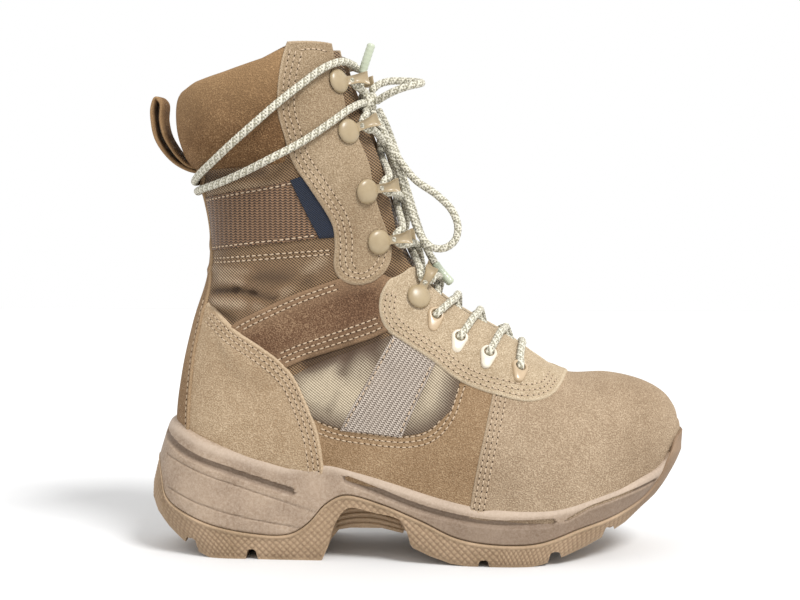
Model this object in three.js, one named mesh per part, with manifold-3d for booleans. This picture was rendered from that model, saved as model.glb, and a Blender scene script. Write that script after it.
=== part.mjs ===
import * as THREE from 'three';
import { mergeVertices } from 'three/addons/utils/BufferGeometryUtils.js';
import Module from 'manifold-3d';

// Combat boot, right foot. Millimetres: X from heel to toe, Y to the inner side of the foot, Z up.
// The origin is on the tread, under the middle of the heel.

const wasm = await Module();
wasm.setup();

const gap = 0.3;
const wall = 2.4;
const boot = new THREE.Group();

const looks = {
  suede: { color: 0xb08a5f, roughness: 0.95, metalness: 0 },
  nylon: { color: 0x8f7150, roughness: 0.85, metalness: 0 },
  foam: { color: 0xb4906c, roughness: 0.7, metalness: 0 },
  rubber: { color: 0xa5794f, roughness: 0.8, metalness: 0 },
  liner: { color: 0x5d4a35, roughness: 0.95, metalness: 0 },
  paint: { color: 0xb38a5e, roughness: 0.45, metalness: 0.1 },
  plastic: { color: 0xd9c3a0, roughness: 0.35, metalness: 0 },
  lace: { color: 0xcfc6a4, roughness: 0.9, metalness: 0 },
};

// Tables: a row of numbers for each section, named by its columns.

function table(columns, rows) {
  return rows.map((row, order) => {
    const entry = { order };
    columns.forEach((column, index) => { entry[column] = row[index]; });
    return entry;
  });
}

function along(rows, at, key, value) {
  const lastRow = rows.length - 1;
  const start = Math.max(0, Math.min(lastRow - 1, rows.findLastIndex((row) => row[at] <= value)));
  const from = rows[start];
  const to = rows[start + 1];
  const slope = (index) => {
    const before = rows[Math.max(0, index - 1)];
    const after = rows[Math.min(lastRow, index + 1)];
    return (after[key] - before[key]) / (after[at] - before[at]);
  };
  const span = to[at] - from[at];
  const share = THREE.MathUtils.clamp((value - from[at]) / span, 0, 1);
  const square = share * share;
  const cube = square * share;
  return (2 * cube - 3 * square + 1) * from[key] + (cube - 2 * square + share) * span * slope(start)
    + (3 * square - 2 * cube) * to[key] + (cube - square) * span * slope(start + 1);
}

// Solids: closed skins over loops, prisms from a side view, and three.js geometries.

function solidFrom(positions, triangles) {
  const vector = (index) => new THREE.Vector3(...positions.slice(3 * index, 3 * index + 3));
  let volume = 0;
  for (let t = 0; t < triangles.length; t += 3) {
    const [a, b, c] = [triangles[t], triangles[t + 1], triangles[t + 2]].map(vector);
    volume += a.dot(b.cross(c));
  }
  const order = volume < 0 ? [0, 2, 1] : [0, 1, 2];
  const triVerts = new Uint32Array(triangles.length);
  for (let t = 0; t < triangles.length; t += 3) {
    order.forEach((from, to) => { triVerts[t + to] = triangles[t + from]; });
  }
  const vertProperties = new Float32Array(positions);
  return new wasm.Manifold(new wasm.Mesh({ numProp: 3, vertProperties, triVerts }));
}

function skin(loops) {
  const count = loops[0].length;
  const positions = loops.flat().flatMap((point) => [point.x, point.y, point.z]);
  const triangles = [];
  for (let row = 0; row < loops.length - 1; row += 1) {
    for (let i = 0; i < count; i += 1) {
      const next = (i + 1) % count;
      const [a, b] = [row * count + i, row * count + next];
      triangles.push(a, b, b + count, a, b + count, a + count);
    }
  }
  const cap = (base, flipped) => {
    for (let i = 0; i < count / 2 - 1; i += 1) {
      const [a, b, c, d] = [i, i + 1, count - 2 - i, count - 1 - i].map((index) => base + index);
      triangles.push(...(flipped ? [a, c, b, a, d, c] : [a, b, c, a, c, d]));
    }
  };
  cap(0, true);
  cap((loops.length - 1) * count, false);
  return solidFrom(positions, triangles);
}

function solidOf(geometry) {
  const bare = geometry.clone();
  bare.deleteAttribute('normal');
  bare.deleteAttribute('uv');
  const merged = mergeVertices(bare, 1e-4);
  return solidFrom([...merged.attributes.position.array], [...merged.index.array]);
}

function prism(outline, fromY, toY) {
  const shape = new THREE.Shape(outline.map(([x, z]) => new THREE.Vector2(x, z)));
  const geometry = new THREE.ExtrudeGeometry(shape, { depth: toY - fromY, bevelEnabled: false });
  geometry.rotateX(Math.PI / 2);
  geometry.translate(0, toY, 0);
  return solidOf(geometry);
}

function geometryOf(solid) {
  const mesh = solid.getMesh();
  const geometry = new THREE.BufferGeometry();
  const corners = new Float32Array(mesh.triVerts.length * 3);
  mesh.triVerts.forEach((vertex, index) => {
    const from = vertex * mesh.numProp;
    corners.set(mesh.vertProperties.subarray(from, from + 3), 3 * index);
  });
  geometry.setAttribute('position', new THREE.BufferAttribute(corners, 3));
  geometry.computeVertexNormals();
  return geometry;
}

// A cut can leave a loose crumb: the piece is the largest body.

function whole(solid) {
  const bodies = solid.decompose();
  return bodies.reduce((best, body) => (body.volume() > best.volume() ? body : best));
}

function addPart(name, solid, look) {
  const material = new THREE.MeshStandardMaterial(looks[look]);
  const part = new THREE.Mesh(geometryOf(whole(solid)), material);
  part.name = name;
  boot.add(part);
  return part;
}

// The last: planes that fan from the toe, under the foot, round the heel and up the shaft. Each plane
// holds the Y axis and a line from the low point (sole or back) to the high point (instep or front).
// widest is the share of that line where the section is widest; lowSquare and highSquare are its
// roundness below and above (2 is an ellipse); push moves the toe's rows back as the form shrinks.

const lastRows = table(
  ['lowX', 'lowZ', 'highX', 'highZ', 'lateral', 'medial', 'widest', 'lowSquare', 'highSquare',
    'lowY', 'highY', 'push', 'throat'],
  [
    [224.6, 59, 224.6, 69, 4, 16, 0.5, 2, 2, 10, 10, 1, 0],
    [222.6, 52, 222.6, 76, -2, 22.5, 0.46, 2.1, 2, 10, 10, 0.95, 0],
    [217, 44, 216.5, 84, -10.5, 29.5, 0.45, 2.4, 2.1, 9.5, 10, 0.7, 0],
    [206.5, 32, 204.5, 90.5, -22, 37, 0.41, 3, 2.2, 7.5, 9, 0.35, 0],
    [189, 19, 187, 94.3, -34.5, 43.5, 0.36, 3.5, 2.3, 4, 8, 0.1, 0],
    [167, 13, 165, 94.6, -43, 47, 0.31, 4, 2.2, 1.5, 7, 0, 0],
    [144, 12, 149, 104, -47, 47, 0.28, 4, 2.05, 0, 5.5, 0, 6],
    [118, 12, 131, 118, -46.5, 44, 0.27, 4, 1.95, -1, 4, 0, 9],
    [86, 19, 114, 129, -42.5, 39, 0.27, 3.6, 1.9, 0, 3, 0, 10.5],
    [50, 27, 101, 138.5, -38.5, 35.5, 0.28, 3.4, 1.95, 0, 2, 0, 11],
    [12, 31, 91, 149, -36.5, 34.5, 0.29, 3.2, 2.1, 0, 1, 0, 12],
    [-22, 33, 85, 158, -36, 34.5, 0.33, 2.8, 2.2, 0, 1, 0, 13],
    [-40, 45, 81.5, 164, -35.5, 34.5, 0.38, 2.5, 2.25, 0, 0.5, 0, 13.5],
    [-45, 68, 79, 171, -35.5, 34.5, 0.42, 2.4, 2.3, 0, 0, 0, 14],
    [-42, 96, 76.5, 180, -35.5, 35, 0.45, 2.35, 2.35, 0, 0, 0, 14.5],
    [-35.5, 124, 73.5, 190, -36.5, 36, 0.48, 2.3, 2.4, 0, 0, 0, 15],
    [-27.5, 149, 70, 202, -39, 38.5, 0.5, 2.3, 2.45, 0, 0, 0, 15.5],
    [-26, 172, 65.5, 215, -41.5, 41, 0.5, 2.3, 2.5, 0, 0, 0, 16],
    [-30.5, 196, 59.5, 230, -43, 42.5, 0.5, 2.3, 2.5, 0, 0, 0, 16.5],
    [-36, 214, 53.5, 245, -43.5, 43, 0.5, 2.3, 2.5, 0, 0, 0, 17],
    [-39, 234, 48, 261, -43.5, 43, 0.5, 2.3, 2.5, 0, 0, 0, 17.5],
    [-40, 256, 42, 282, -43.5, 43, 0.5, 2.3, 2.5, 0, 0, 0, 18],
  ],
);
const lastEnd = lastRows.length - 1;
const throatStart = 5.35;

function sectionAt(order, inset = 0) {
  const value = {};
  for (const key of Object.keys(lastRows[0])) value[key] = along(lastRows, 'order', key, order);
  const low = new THREE.Vector2(value.lowX, value.lowZ);
  const high = new THREE.Vector2(value.highX, value.highZ);
  const up = high.clone().sub(low).normalize();
  const back = new THREE.Vector2(-up.y, up.x).multiplyScalar(inset * value.push);
  low.addScaledVector(up, inset).add(back);
  high.addScaledVector(up, -inset).add(back);
  const lateral = value.lateral + inset;
  const medial = value.medial - inset;
  return { ...value, low, high, up, lateral, medial };
}

function pointOn(section, angle) {
  const rise = Math.sin(angle);
  const across = Math.cos(angle);
  const power = 2 / (rise < 0 ? section.lowSquare : section.highSquare);
  const span = rise < 0 ? -section.widest : 1 - section.widest;
  const share = section.widest + span * Math.abs(rise) ** power;
  const middle = THREE.MathUtils.lerp(section.lowY, section.highY, share);
  const edge = across > 0 ? section.medial : section.lateral;
  const y = middle + (edge - middle) * Math.abs(across) ** power;
  const flat = section.low.clone().lerp(section.high, share);
  return new THREE.Vector3(flat.x, y, flat.y);
}

function angleAcross(section, y) {
  const edge = y < section.highY ? section.lateral : section.medial;
  const share = Math.min(0.97, Math.abs((y - section.highY) / (edge - section.highY)));
  const turn = Math.acos(share ** (section.highSquare / 2));
  return y < section.highY ? Math.PI - turn : turn;
}

function lastForm(inset, around = 24, steps = 25) {
  const loops = [];
  for (let row = 0; row <= steps; row += 1) {
    const section = sectionAt(lastEnd * row / steps, inset);
    const angleAt = (i) => -Math.PI / 2 + 2 * Math.PI * (i + 0.5) / around;
    loops.push(Array.from({ length: around }, (_, i) => pointOn(section, angleAt(i))));
  }
  return skin(loops);
}

// Where the side view's point (x, z) lies on the last: which section it is in, and the angle round it.

function placeOn(x, z, side, inset = 0) {
  let [near, far] = [0, lastEnd];
  for (let step = 0; step < 40; step += 1) {
    const middle = (near + far) / 2;
    const { low, up } = sectionAt(middle, inset);
    if (up.x * (z - low.y) - up.y * (x - low.x) > 0) near = middle;
    else far = middle;
  }
  const section = sectionAt(near, inset);
  const length = section.high.distanceTo(section.low);
  const share = ((x - section.low.x) * section.up.x + (z - section.low.y) * section.up.y) / length;
  const high = share > section.widest;
  const span = high ? 1 - section.widest : section.widest;
  const part = THREE.MathUtils.clamp(Math.abs(share - section.widest) / span, 0, 1);
  const turn = Math.asin(part ** ((high ? section.highSquare : section.lowSquare) / 2)) * (high ? 1 : -1);
  return { order: near, angle: side > 0 ? turn : Math.PI - turn };
}

function surfacePoint(x, z, side, inset = 0) {
  const { order, angle } = placeOn(x, z, side, inset);
  return pointOn(sectionAt(order, inset), angle);
}

// Sole: an outline in plan, shrunk level by level, cut to the side view.

const soleOutline = table(
  ['x', 'y'],
  [
    [-60, 0], [-53, -21], [-32, -35.5], [4, -39], [50, -41], [90, -46.5], [128, -51], [163, -48.5],
    [194, -38], [217, -18], [228.7, 9], [222.5, 31.5], [200, 47], [162, 53.5], [125, 49.5], [84, 40.5],
    [44, 37], [4, 37], [-32, 35], [-53, 21],
  ],
);
const soleLevels = table(
  ['z', 'heel', 'toe'],
  [
    [-2, -42, 184], [5, -47, 192], [12, -52, 199], [20, -57.5, 207], [28, -60, 214], [36, -59.5, 220],
    [45, -57.4, 224.5], [54, -55, 228], [63, -52.2, 228.5], [74, -47, 225],
  ],
);
const wallLean = table(
  ['share', 'inset'],
  [[0, 2.6], [0.12, 0.7], [0.3, 0], [0.6, 0.8], [0.85, 1.8], [1, 3.4]],
);
const treadLine = table(
  ['x', 'z'],
  [
    [-66, 40], [-60, 27], [-57, 19], [-49, 12.5], [-40, 7], [-30, 2], [-24, 0], [36, 0], [40, 9],
    [44, 14], [50, 15], [76, 15], [81, 13], [84, 8.5], [93, 4.5], [104, 1], [112, 0], [146, 0],
    [152, 1], [163, 4.4], [175, 8.5], [184, 12], [196, 17.5], [206, 26], [213, 31], [219, 39],
    [226, 50], [229.5, 58], [232, 68],
  ],
);
const partingLine = table(
  ['x', 'z'],
  [
    [-66, 66], [-56, 52], [-52, 42], [-48, 30], [-29, 20], [-2, 14], [19, 14], [29, 20], [38, 30],
    [48, 35], [67, 31], [88, 23], [106, 15], [124, 12], [150, 12.5], [171, 19], [192, 25], [208, 34],
    [217, 47], [221, 60], [223, 76],
  ],
);
const rimLine = table(
  ['x', 'z'],
  [
    [-66, 73], [-46, 71], [-29, 64], [-7, 57], [17, 51.5], [27, 53], [40, 53], [56, 48.5], [77, 42],
    [98, 36], [119, 32], [140, 31], [160, 32], [181, 37], [203, 44], [217, 50], [224, 62],
    [232, 68],
  ],
);
const bedLine = table(
  ['x', 'z'],
  [
    [-66, 46], [-30, 42], [0, 41], [40, 38], [80, 28], [110, 22.5], [130, 21], [160, 22], [190, 27],
    [216, 36], [232, 44],
  ],
);
const soleBall = 128;
const soleHeel = -10;
const soleToe = 228.7;
const soleBack = -60;

function lineHeight(line, x) {
  const after = Math.max(1, line.findIndex((point) => point.x >= x));
  const [from, to] = [line[after - 1], line[after]];
  return THREE.MathUtils.mapLinear(x, from.x, to.x, from.z, to.z);
}

function above(line, lift, top = 400) {
  const edge = line.map((point) => [point.x, point.z + lift]);
  return prism([...edge, [edge.at(-1)[0], top], [edge[0][0], top]], -90, 90);
}

function soleForm(around = 46) {
  const points = soleOutline.map((point) => new THREE.Vector3(point.x, point.y, 0));
  const plan = new THREE.CatmullRomCurve3(points, true, 'centripetal').getPoints(around).slice(0, around);
  const loops = soleLevels.map((level) => plan.map((point) => {
    const toeScale = (level.toe - soleBall) / (soleToe - soleBall);
    const heelScale = (level.heel - soleHeel) / (soleBack - soleHeel);
    let x = point.x;
    if (x > soleBall) x = soleBall + (x - soleBall) * toeScale;
    if (x < soleHeel) x = soleHeel + (x - soleHeel) * heelScale;
    const [tread, rim] = [lineHeight(treadLine, x), lineHeight(rimLine, x)];
    const share = THREE.MathUtils.clamp((level.z - tread) / (rim - tread), 0, 1);
    const inset = along(wallLean, 'share', 'inset', share) * Math.min(1, Math.abs(point.y) / 20);
    return new THREE.Vector3(x, point.y - Math.sign(point.y) * inset, level.z);
  }));
  const side = [
    ...treadLine.map((point) => [point.x, point.z]),
    ...rimLine.map((point) => [point.x, point.z]).reverse(),
  ];
  return skin(loops).intersect(prism(side, -90, 90));
}

// Tread: notches that open at the edge, and the hollow under the arch beside its ribbed block.

const notches = table(
  ['x', 'z', 'mouth', 'root', 'depth'],
  [
    [-35, 4, 9, 5, 5.5], [-1.2, 0, 7.5, 3.5, 5.5], [121, 0, 7, 3.5, 3.8], [158, 3, 8, 4, 4.6],
    [187, 13, 8, 4, 5],
  ],
);
const notchReach = 13;
const archBlock = 25;
const archRim = [
  [37, -2], [40.5, 12], [44, 21.5], [50, 28.5], [64, 26.5], [77, 23.5], [81, 17], [85, -2],
];

function cutTread(solid) {
  let cut = solid;
  for (const notch of notches) {
    const outline = [
      [notch.x - notch.mouth / 2, notch.z - 4], [notch.x + notch.mouth / 2, notch.z - 4],
      [notch.x + notch.root / 2, notch.z + notch.depth], [notch.x - notch.root / 2, notch.z + notch.depth],
    ];
    cut = cut.subtract(prism(outline, notchReach, 70)).subtract(prism(outline, -70, -notchReach));
  }
  return cut.subtract(prism(archRim, archBlock, 70)).subtract(prism(archRim, -70, -archBlock));
}

const sole = soleForm();
const cup = lastForm(-gap).intersect(above(bedLine, 0));
const outsole = cutTread(sole.subtract(above(partingLine, 0))).subtract(cup);
const midsole = sole.intersect(above(partingLine, gap)).subtract(cup);
addPart('outsole', outsole, 'rubber');
addPart('midsole', midsole, 'foam');

// Upper: a hollow shell, open underneath, at the throat and at the collar.

const topLine = table(
  ['x', 'z'],
  [[-70, 236], [-45, 239], [-25, 248], [-8, 254], [7, 262], [20, 269], [34, 271], [41, 267], [60, 262]],
);
const collarSeam = table(['x', 'z'], [[-60, 204], [-29, 204.5], [14, 208]]);
const collarFront = 13;

function throatForm() {
  const steps = 22;
  const loops = [];
  for (let row = 0; row <= steps; row += 1) {
    const order = throatStart + (lastEnd - throatStart) * row / steps;
    const section = sectionAt(order);
    const half = row === 0 ? 2.5 : section.throat;
    const corner = (lift, y) => {
      const flat = section.high.clone().addScaledVector(section.up, lift);
      return new THREE.Vector3(flat.x, section.highY + y, flat.y);
    };
    loops.push([corner(-32, -half), corner(-32, half), corner(16, half), corner(16, -half)]);
  }
  return skin(loops);
}

function collarRegion(grow) {
  const seam = collarSeam.map((point) => [point.x, point.z - grow]);
  seam[seam.length - 1][0] = collarFront + grow;
  return prism([...seam, [collarFront + grow, 300], [-60, 300]], -90, 90);
}

const shell = lastForm(0).subtract(lastForm(wall));
const upper = shell.intersect(above(bedLine, gap)).subtract(above(topLine, 0))
  .subtract(throatForm()).subtract(collarRegion(gap));

// It is sewn from five pieces: the vamp, then a quarter and a shaft half on each side of the back seam.

const ankleSeam = table(['x', 'z'], [[-70, 147], [120, 147]]);
const farAway = 400;

function vampRegion(grow) {
  return prism([[116 - grow, 0], [127 - grow, 110], [127 - grow, 200], [farAway, 200], [farAway, 0]], -90, 90);
}

function halfRegion(side) {
  const outline = [[-100, -10], [farAway, -10], [farAway, farAway], [-100, farAway]];
  return side < 0 ? prism(outline, -90, -gap / 2) : prism(outline, gap / 2, 90);
}

const sewn = upper.subtract(vampRegion(gap));
const shaft = sewn.intersect(above(ankleSeam, gap));
const quarters = sewn.subtract(above(ankleSeam, 0));
addPart('vamp', upper.intersect(vampRegion(0)), 'suede');
for (const [sideName, side] of [['lateral', -1], ['medial', 1]]) {
  addPart(`quarter_${sideName}`, quarters.intersect(halfRegion(side)), 'suede');
  addPart(`shaft_${sideName}`, shaft.intersect(halfRegion(side)), 'nylon');
}

// Insole and tongue follow the inside of the shell.

const insoleThick = 4;
const insole = lastForm(wall + 0.5, 20).intersect(above(bedLine, gap)).subtract(above(bedLine, gap + insoleThick));
addPart('insole', insole, 'liner');

const tongueRows = 20;
const tongueHalf = 7;

function tongueForm(outerInset, thick, fromOrder, toOrder) {
  const loops = [];
  for (let row = 0; row <= tongueRows; row += 1) {
    const order = fromOrder + (toOrder - fromOrder) * row / tongueRows;
    const arc = (inset) => {
      const section = sectionAt(order, inset);
      const reach = Math.max(9, section.throat + 10);
      return Array.from({ length: tongueHalf }, (_, i) => {
        const y = section.highY + reach * (2 * i / (tongueHalf - 1) - 1);
        return pointOn(section, angleAcross(section, y));
      });
    };
    loops.push([...arc(outerInset), ...arc(outerInset + thick).reverse()]);
  }
  return skin(loops);
}

const tongue = tongueForm(wall + 1.2, 3.5, 4.9, 20.4);
addPart('tongue', tongue, 'nylon');

// Padded collar: a roll between two larger forms of the shaft, thickest at half its height.

const padOut = 6.3;
const padIn = 3.5;
const collarTurns = 18;
const collarRises = 5;

function orderAtLine(angle, line) {
  let [near, far] = [15, lastEnd];
  for (let step = 0; step < 30; step += 1) {
    const middle = (near + far) / 2;
    const point = pointOn(sectionAt(middle), angle);
    if (point.z < lineHeight(line, Math.max(-59, point.x))) near = middle;
    else far = middle;
  }
  return near;
}

function collarForm() {
  const loops = [];
  const reach = 1.75;
  for (let turn = 0; turn <= collarTurns; turn += 1) {
    const angle = -Math.PI / 2 + reach * (2 * turn / collarTurns - 1);
    const [from, to] = [orderAtLine(angle, collarSeam), orderAtLine(angle, topLine)];
    const side = (base, pad) => Array.from({ length: collarRises + 1 }, (_, rise) => {
      const share = rise / collarRises;
      const bulge = Math.sqrt(1 - Math.abs(2 * share ** 1.35 - 1) ** 2.6);
      return pointOn(sectionAt(from + (to - from) * share, base + pad * bulge), angle);
    });
    loops.push([...side(0.2, -padOut), ...side(wall - 0.2, padIn).reverse()]);
  }
  return skin(loops);
}

addPart('collar', collarForm().intersect(collarRegion(0)), 'suede');

// Pull loop: a folded strip behind the collar, seen edge on.

const pullWidth = 24;
const pullOuter = [
  [-33.5, 202], [-38, 203.6], [-45, 207], [-51.5, 213.5], [-56, 221], [-58, 230], [-58, 237],
  [-56, 242.5], [-53, 244.3], [-50.6, 242.4], [-49.6, 236],
];
const pullInner = [
  [-51.6, 231], [-51.6, 225], [-48, 216.5], [-43.5, 211], [-40, 207.6], [-36.5, 205.4],
];
const pullSlit = [
  [-54.6, 240], [-55.2, 231], [-53.4, 222.5], [-48.6, 214.5], [-44.2, 209.8], [-46.4, 213.8],
  [-50.2, 221], [-53, 230.5], [-53.2, 240],
];

function pullForm() {
  const outline = [...pullOuter, ...pullInner];
  return prism(outline, -pullWidth / 2, pullWidth / 2).subtract(prism(pullSlit, -pullWidth, pullWidth));
}

addPart('pull_loop', pullForm(), 'suede');

// Speed hooks and eyelets, set on the shell by their place in the side view.

const hooks = table(
  ['x', 'z', 'aim'],
  [[85.5, 137.4, 73], [64.6, 166.9, 12], [58.6, 193.5, 18], [49.2, 224.4, 26], [43.5, 250.3, 3]],
);
const eyelets = table(
  ['x', 'z', 'aim'],
  [[138.7, 99.8, 262], [122.9, 108, 256], [107.6, 116.1, 254], [94.7, 127.7, 258]],
);
const buttonRadius = 6.6;
const armWidth = 6;
const eyeletHole = 2.9;
const eyeletLift = 0.6;
const sides = [['lateral', -1], ['medial', 1]];

function hookForm() {
  const profile = [[0, 0], [buttonRadius, 0], [buttonRadius, 1.2], [4.4, 2.5], [0, 3]];
  const button = new THREE.LatheGeometry(profile.map(([x, y]) => new THREE.Vector2(x, y)), 8);
  button.rotateX(Math.PI / 2);
  const arm = [
    [2.5, 1.4], [6, 1.4], [9, 5], [13, 5.6], [15.6, 7.6], [14.8, 8.6], [12.4, 7.2], [8.2, 6.6], [4.6, 3.6],
  ];
  return solidOf(button).add(prism(arm, -armWidth / 2, armWidth / 2));
}

function eyeletForm() {
  const shape = new THREE.Shape();
  shape.absarc(0, 0, 4.7, -1.9, 1.9, false);
  shape.lineTo(-6, 3.2);
  shape.absarc(-8, 0, 3.2, 1.4, 4.9, false);
  shape.closePath();
  const hole = new THREE.Path();
  hole.absarc(0, 0, eyeletHole, 0, Math.PI * 2, true);
  shape.holes.push(hole);
  const settings = { depth: 1.3, bevelEnabled: false, curveSegments: 3 };
  const geometry = new THREE.ExtrudeGeometry(shape, settings);
  geometry.rotateZ(Math.PI);
  return solidOf(geometry);
}

// A fitting's frame: its Z is the surface's outward normal, its X the aim in the side view.

function setOn(part, place, side, lift) {
  const at = surfacePoint(place.x, place.z, side);
  const alongX = surfacePoint(place.x + 1, place.z, side).sub(at);
  const alongZ = surfacePoint(place.x, place.z + 1, side).sub(at);
  const normal = alongX.clone().cross(alongZ).normalize();
  if (normal.y * side < 0) normal.negate();
  const aim = THREE.MathUtils.degToRad(place.aim);
  const forward = alongX.multiplyScalar(Math.cos(aim)).addScaledVector(alongZ, Math.sin(aim));
  forward.addScaledVector(normal, -forward.dot(normal)).normalize();
  const across = normal.clone().cross(forward);
  part.quaternion.setFromRotationMatrix(new THREE.Matrix4().makeBasis(forward, across, normal));
  part.position.copy(at.addScaledVector(normal, lift));
}

for (const [sideName, side] of sides) {
  hooks.forEach((place, index) => {
    setOn(addPart(`hook_${sideName}_${index + 1}`, hookForm(), 'paint'), place, side, gap);
  });
  eyelets.forEach((place, index) => {
    setOn(addPart(`eyelet_${sideName}_${index + 1}`, eyeletForm(), 'plastic'), place, side, eyeletLift);
  });
}

// Lace, tight part: one bar at the lowest eyelets, then a crossing between each pair of rows.

const laceRadius = 2.2;
const eyeletTieLift = 5;
const hookTieLift = -0.4;
const hookTie = 8;
const strandMargin = 0.23;

function tube(points, radius, sidesRound, steps) {
  const shape = new THREE.Shape();
  shape.absarc(0, 0, radius, 0, 2 * Math.PI, false);
  const outline = shape.getSpacedPoints(sidesRound).slice(0, sidesRound);
  const path = new THREE.CatmullRomCurve3(points, false, 'centripetal');
  const settings = { steps, extrudePath: path, bevelEnabled: false };
  return solidOf(new THREE.ExtrudeGeometry(new THREE.Shape(outline), settings));
}

function tieAt(row, side) {
  if (row < eyelets.length) {
    const place = placeOn(eyelets[row].x, eyelets[row].z, side);
    return { order: place.order, angle: place.angle, lift: eyeletTieLift };
  }
  const hook = hooks[row - eyelets.length];
  const { order } = placeOn(hook.x, hook.z, side);
  return { order, angle: angleAcross(sectionAt(order), side * hookTie), lift: hookTieLift };
}

function strand(fromRow, toRow, side) {
  const [from, to] = [tieAt(fromRow, side), tieAt(toRow, -side)];
  const points = [0, 1, 2, 3].map((step) => {
    const share = strandMargin + (1 - 2 * strandMargin) * step / 3;
    const order = THREE.MathUtils.lerp(from.order, to.order, share);
    const angle = THREE.MathUtils.lerp(from.angle, to.angle, share);
    const lift = THREE.MathUtils.lerp(from.lift, to.lift, share);
    return pointOn(sectionAt(order, -lift), angle);
  });
  return tube(points, laceRadius, 5, 3);
}

addPart('lace_crossing_1', strand(0, 0, -1), 'lace');
for (let row = 1; row < eyelets.length + hooks.length; row += 1) {
  addPart(`lace_crossing_${row + 1}`, strand(row - 1, row, -1).add(strand(row - 1, row, 1)), 'lace');
}

// Lace, free part: both ends go once round the shaft and meet in a bow in front. Routes are by hand.

const freeLace = {
  lace_wrap_high: {
    steps: 20,
    route: [
      [52, -15, 259.5], [46.5, -27.5, 261], [38, -38.4, 257], [28, -44, 249.2], [16, -50.8, 239],
      [4, -54.6, 228.2], [-8, -52.6, 218], [-19, -44.6, 209], [-28, -31, 202.6], [-33.4, -15, 198.8],
      [-34.6, 2, 198.4], [-31.6, 18, 199.5], [-27.8, 26.4, 199.5], [-18, 37, 201.2], [-4, 46.4, 205],
      [12, 52, 210.8], [28, 45.6, 219], [42, 40.8, 228.5], [51, 32, 236], [57.6, 19, 241.6],
      [60.6, 7, 243], [61, -3, 242],
    ],
  },
  lace_wrap_low: {
    steps: 20,
    route: [
      [52, 15, 259.5], [46.5, 27.5, 261], [38, 38.2, 257], [28, 43.7, 249.2], [16, 50.6, 239],
      [4, 54.4, 228.2], [-8, 52.4, 218], [-19, 47, 209], [-28.4, 34.4, 202], [-34.6, 20.4, 195.6],
      [-34.4, 4, 193.2], [-32, -13.6, 193.6], [-27, -26.2, 195], [-18, -36.4, 197.6], [-4, -45.4, 203],
      [12, -52, 210.5], [28, -45.8, 219.4], [42, -40.9, 229.2], [50, -33.6, 235.6],
      [55, -24, 239], [57, -17.6, 240],
    ],
  },
  lace_loop_long: {
    steps: 17,
    route: [
      [62.6, -9, 235.5], [65.4, -7, 229], [69, -6.4, 221], [74, -7, 212], [83.6, -9, 199.8],
      [95.4, -11, 191.5], [103.4, -12, 183.4], [106.6, -13, 174.8], [105, -14, 167.4], [99.4, -14.6, 163.4],
      [93, -14, 163.8], [87.8, -12, 168.6], [84.2, -9, 175.4], [81.6, -6.6, 182.6], [79, -5.6, 190.6],
      [76.6, -5.6, 198.6], [73.4, -5.8, 208], [69.8, -9, 217.5], [65.8, -12.5, 227], [61.2, -13, 235.3],
    ],
  },
  lace_loop_short: {
    steps: 9,
    route: [
      [63.6, -13.4, 241], [68, -16, 243.6], [74, -18, 246.4], [80.4, -17.4, 248.6], [85.6, -13, 250],
      [87, -6.6, 251], [84, -1, 251.8], [77.4, 1, 252.3], [70, -0.4, 252.2], [64, -4, 250.2],
      [60.6, -7.4, 246.9],
    ],
  },
  lace_end_up: {
    steps: 4,
    route: [[55, -11, 246.6], [54.8, -11, 251], [56.2, -10.5, 257.5], [58.4, -10, 264.5], [60.4, -9.5, 270.5]],
  },
  lace_end_down: {
    steps: 10,
    route: [
      [64, -3.6, 236.5], [67.4, -0.6, 229.5], [71.2, 0, 219.5], [74.6, 0.4, 209.5], [77.4, 0.8, 199.5],
      [80.4, 0.8, 189.5], [83.4, 0.8, 179.5], [86.8, 0.4, 169.5], [91, 0, 160], [96.4, -1, 151.4],
      [102.4, -2, 144.6],
    ],
  },
};

for (const [name, { steps, route }] of Object.entries(freeLace)) {
  const points = route.map((place) => new THREE.Vector3(...place));
  addPart(name, tube(points, laceRadius, 8, steps), 'lace');
}

const knotPlace = new THREE.Vector3(58.2, -10.6, 240.6);
const knot = addPart('lace_knot', solidOf(new THREE.SphereGeometry(1, 8, 6)), 'lace');
knot.scale.set(4.6, 5.4, 4.8);
knot.position.copy(knotPlace);

export default boot;
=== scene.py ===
# Combat boot, right foot: suede and nylon upper, padded collar, speed hooks, moulded sole, round laces.
import math

import bmesh
import bpy
import numpy as np
from mathutils import Matrix, Vector
from mathutils.bvhtree import BVHTree
from mathutils.kdtree import KDTree


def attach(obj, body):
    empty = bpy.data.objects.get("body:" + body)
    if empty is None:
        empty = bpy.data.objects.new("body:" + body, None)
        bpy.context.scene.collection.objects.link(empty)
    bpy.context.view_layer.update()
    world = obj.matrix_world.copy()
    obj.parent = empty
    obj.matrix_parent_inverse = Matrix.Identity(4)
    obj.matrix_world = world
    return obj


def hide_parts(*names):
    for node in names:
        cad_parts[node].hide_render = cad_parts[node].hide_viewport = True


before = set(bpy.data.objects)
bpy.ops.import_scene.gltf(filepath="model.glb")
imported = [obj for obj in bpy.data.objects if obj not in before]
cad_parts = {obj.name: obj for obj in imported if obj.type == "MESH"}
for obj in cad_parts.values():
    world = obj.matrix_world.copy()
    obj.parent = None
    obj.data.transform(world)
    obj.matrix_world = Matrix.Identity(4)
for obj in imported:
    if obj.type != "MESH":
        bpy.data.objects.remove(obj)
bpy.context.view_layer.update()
mm = 0.001  # the tables below are in millimetres, as the frame's source is
print("frame loaded:", len(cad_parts), "nodes")


def newObject(name, data):
    made = bpy.data.objects.new(name, data)
    bpy.context.collection.objects.link(made)
    return made


# Camera

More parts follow.
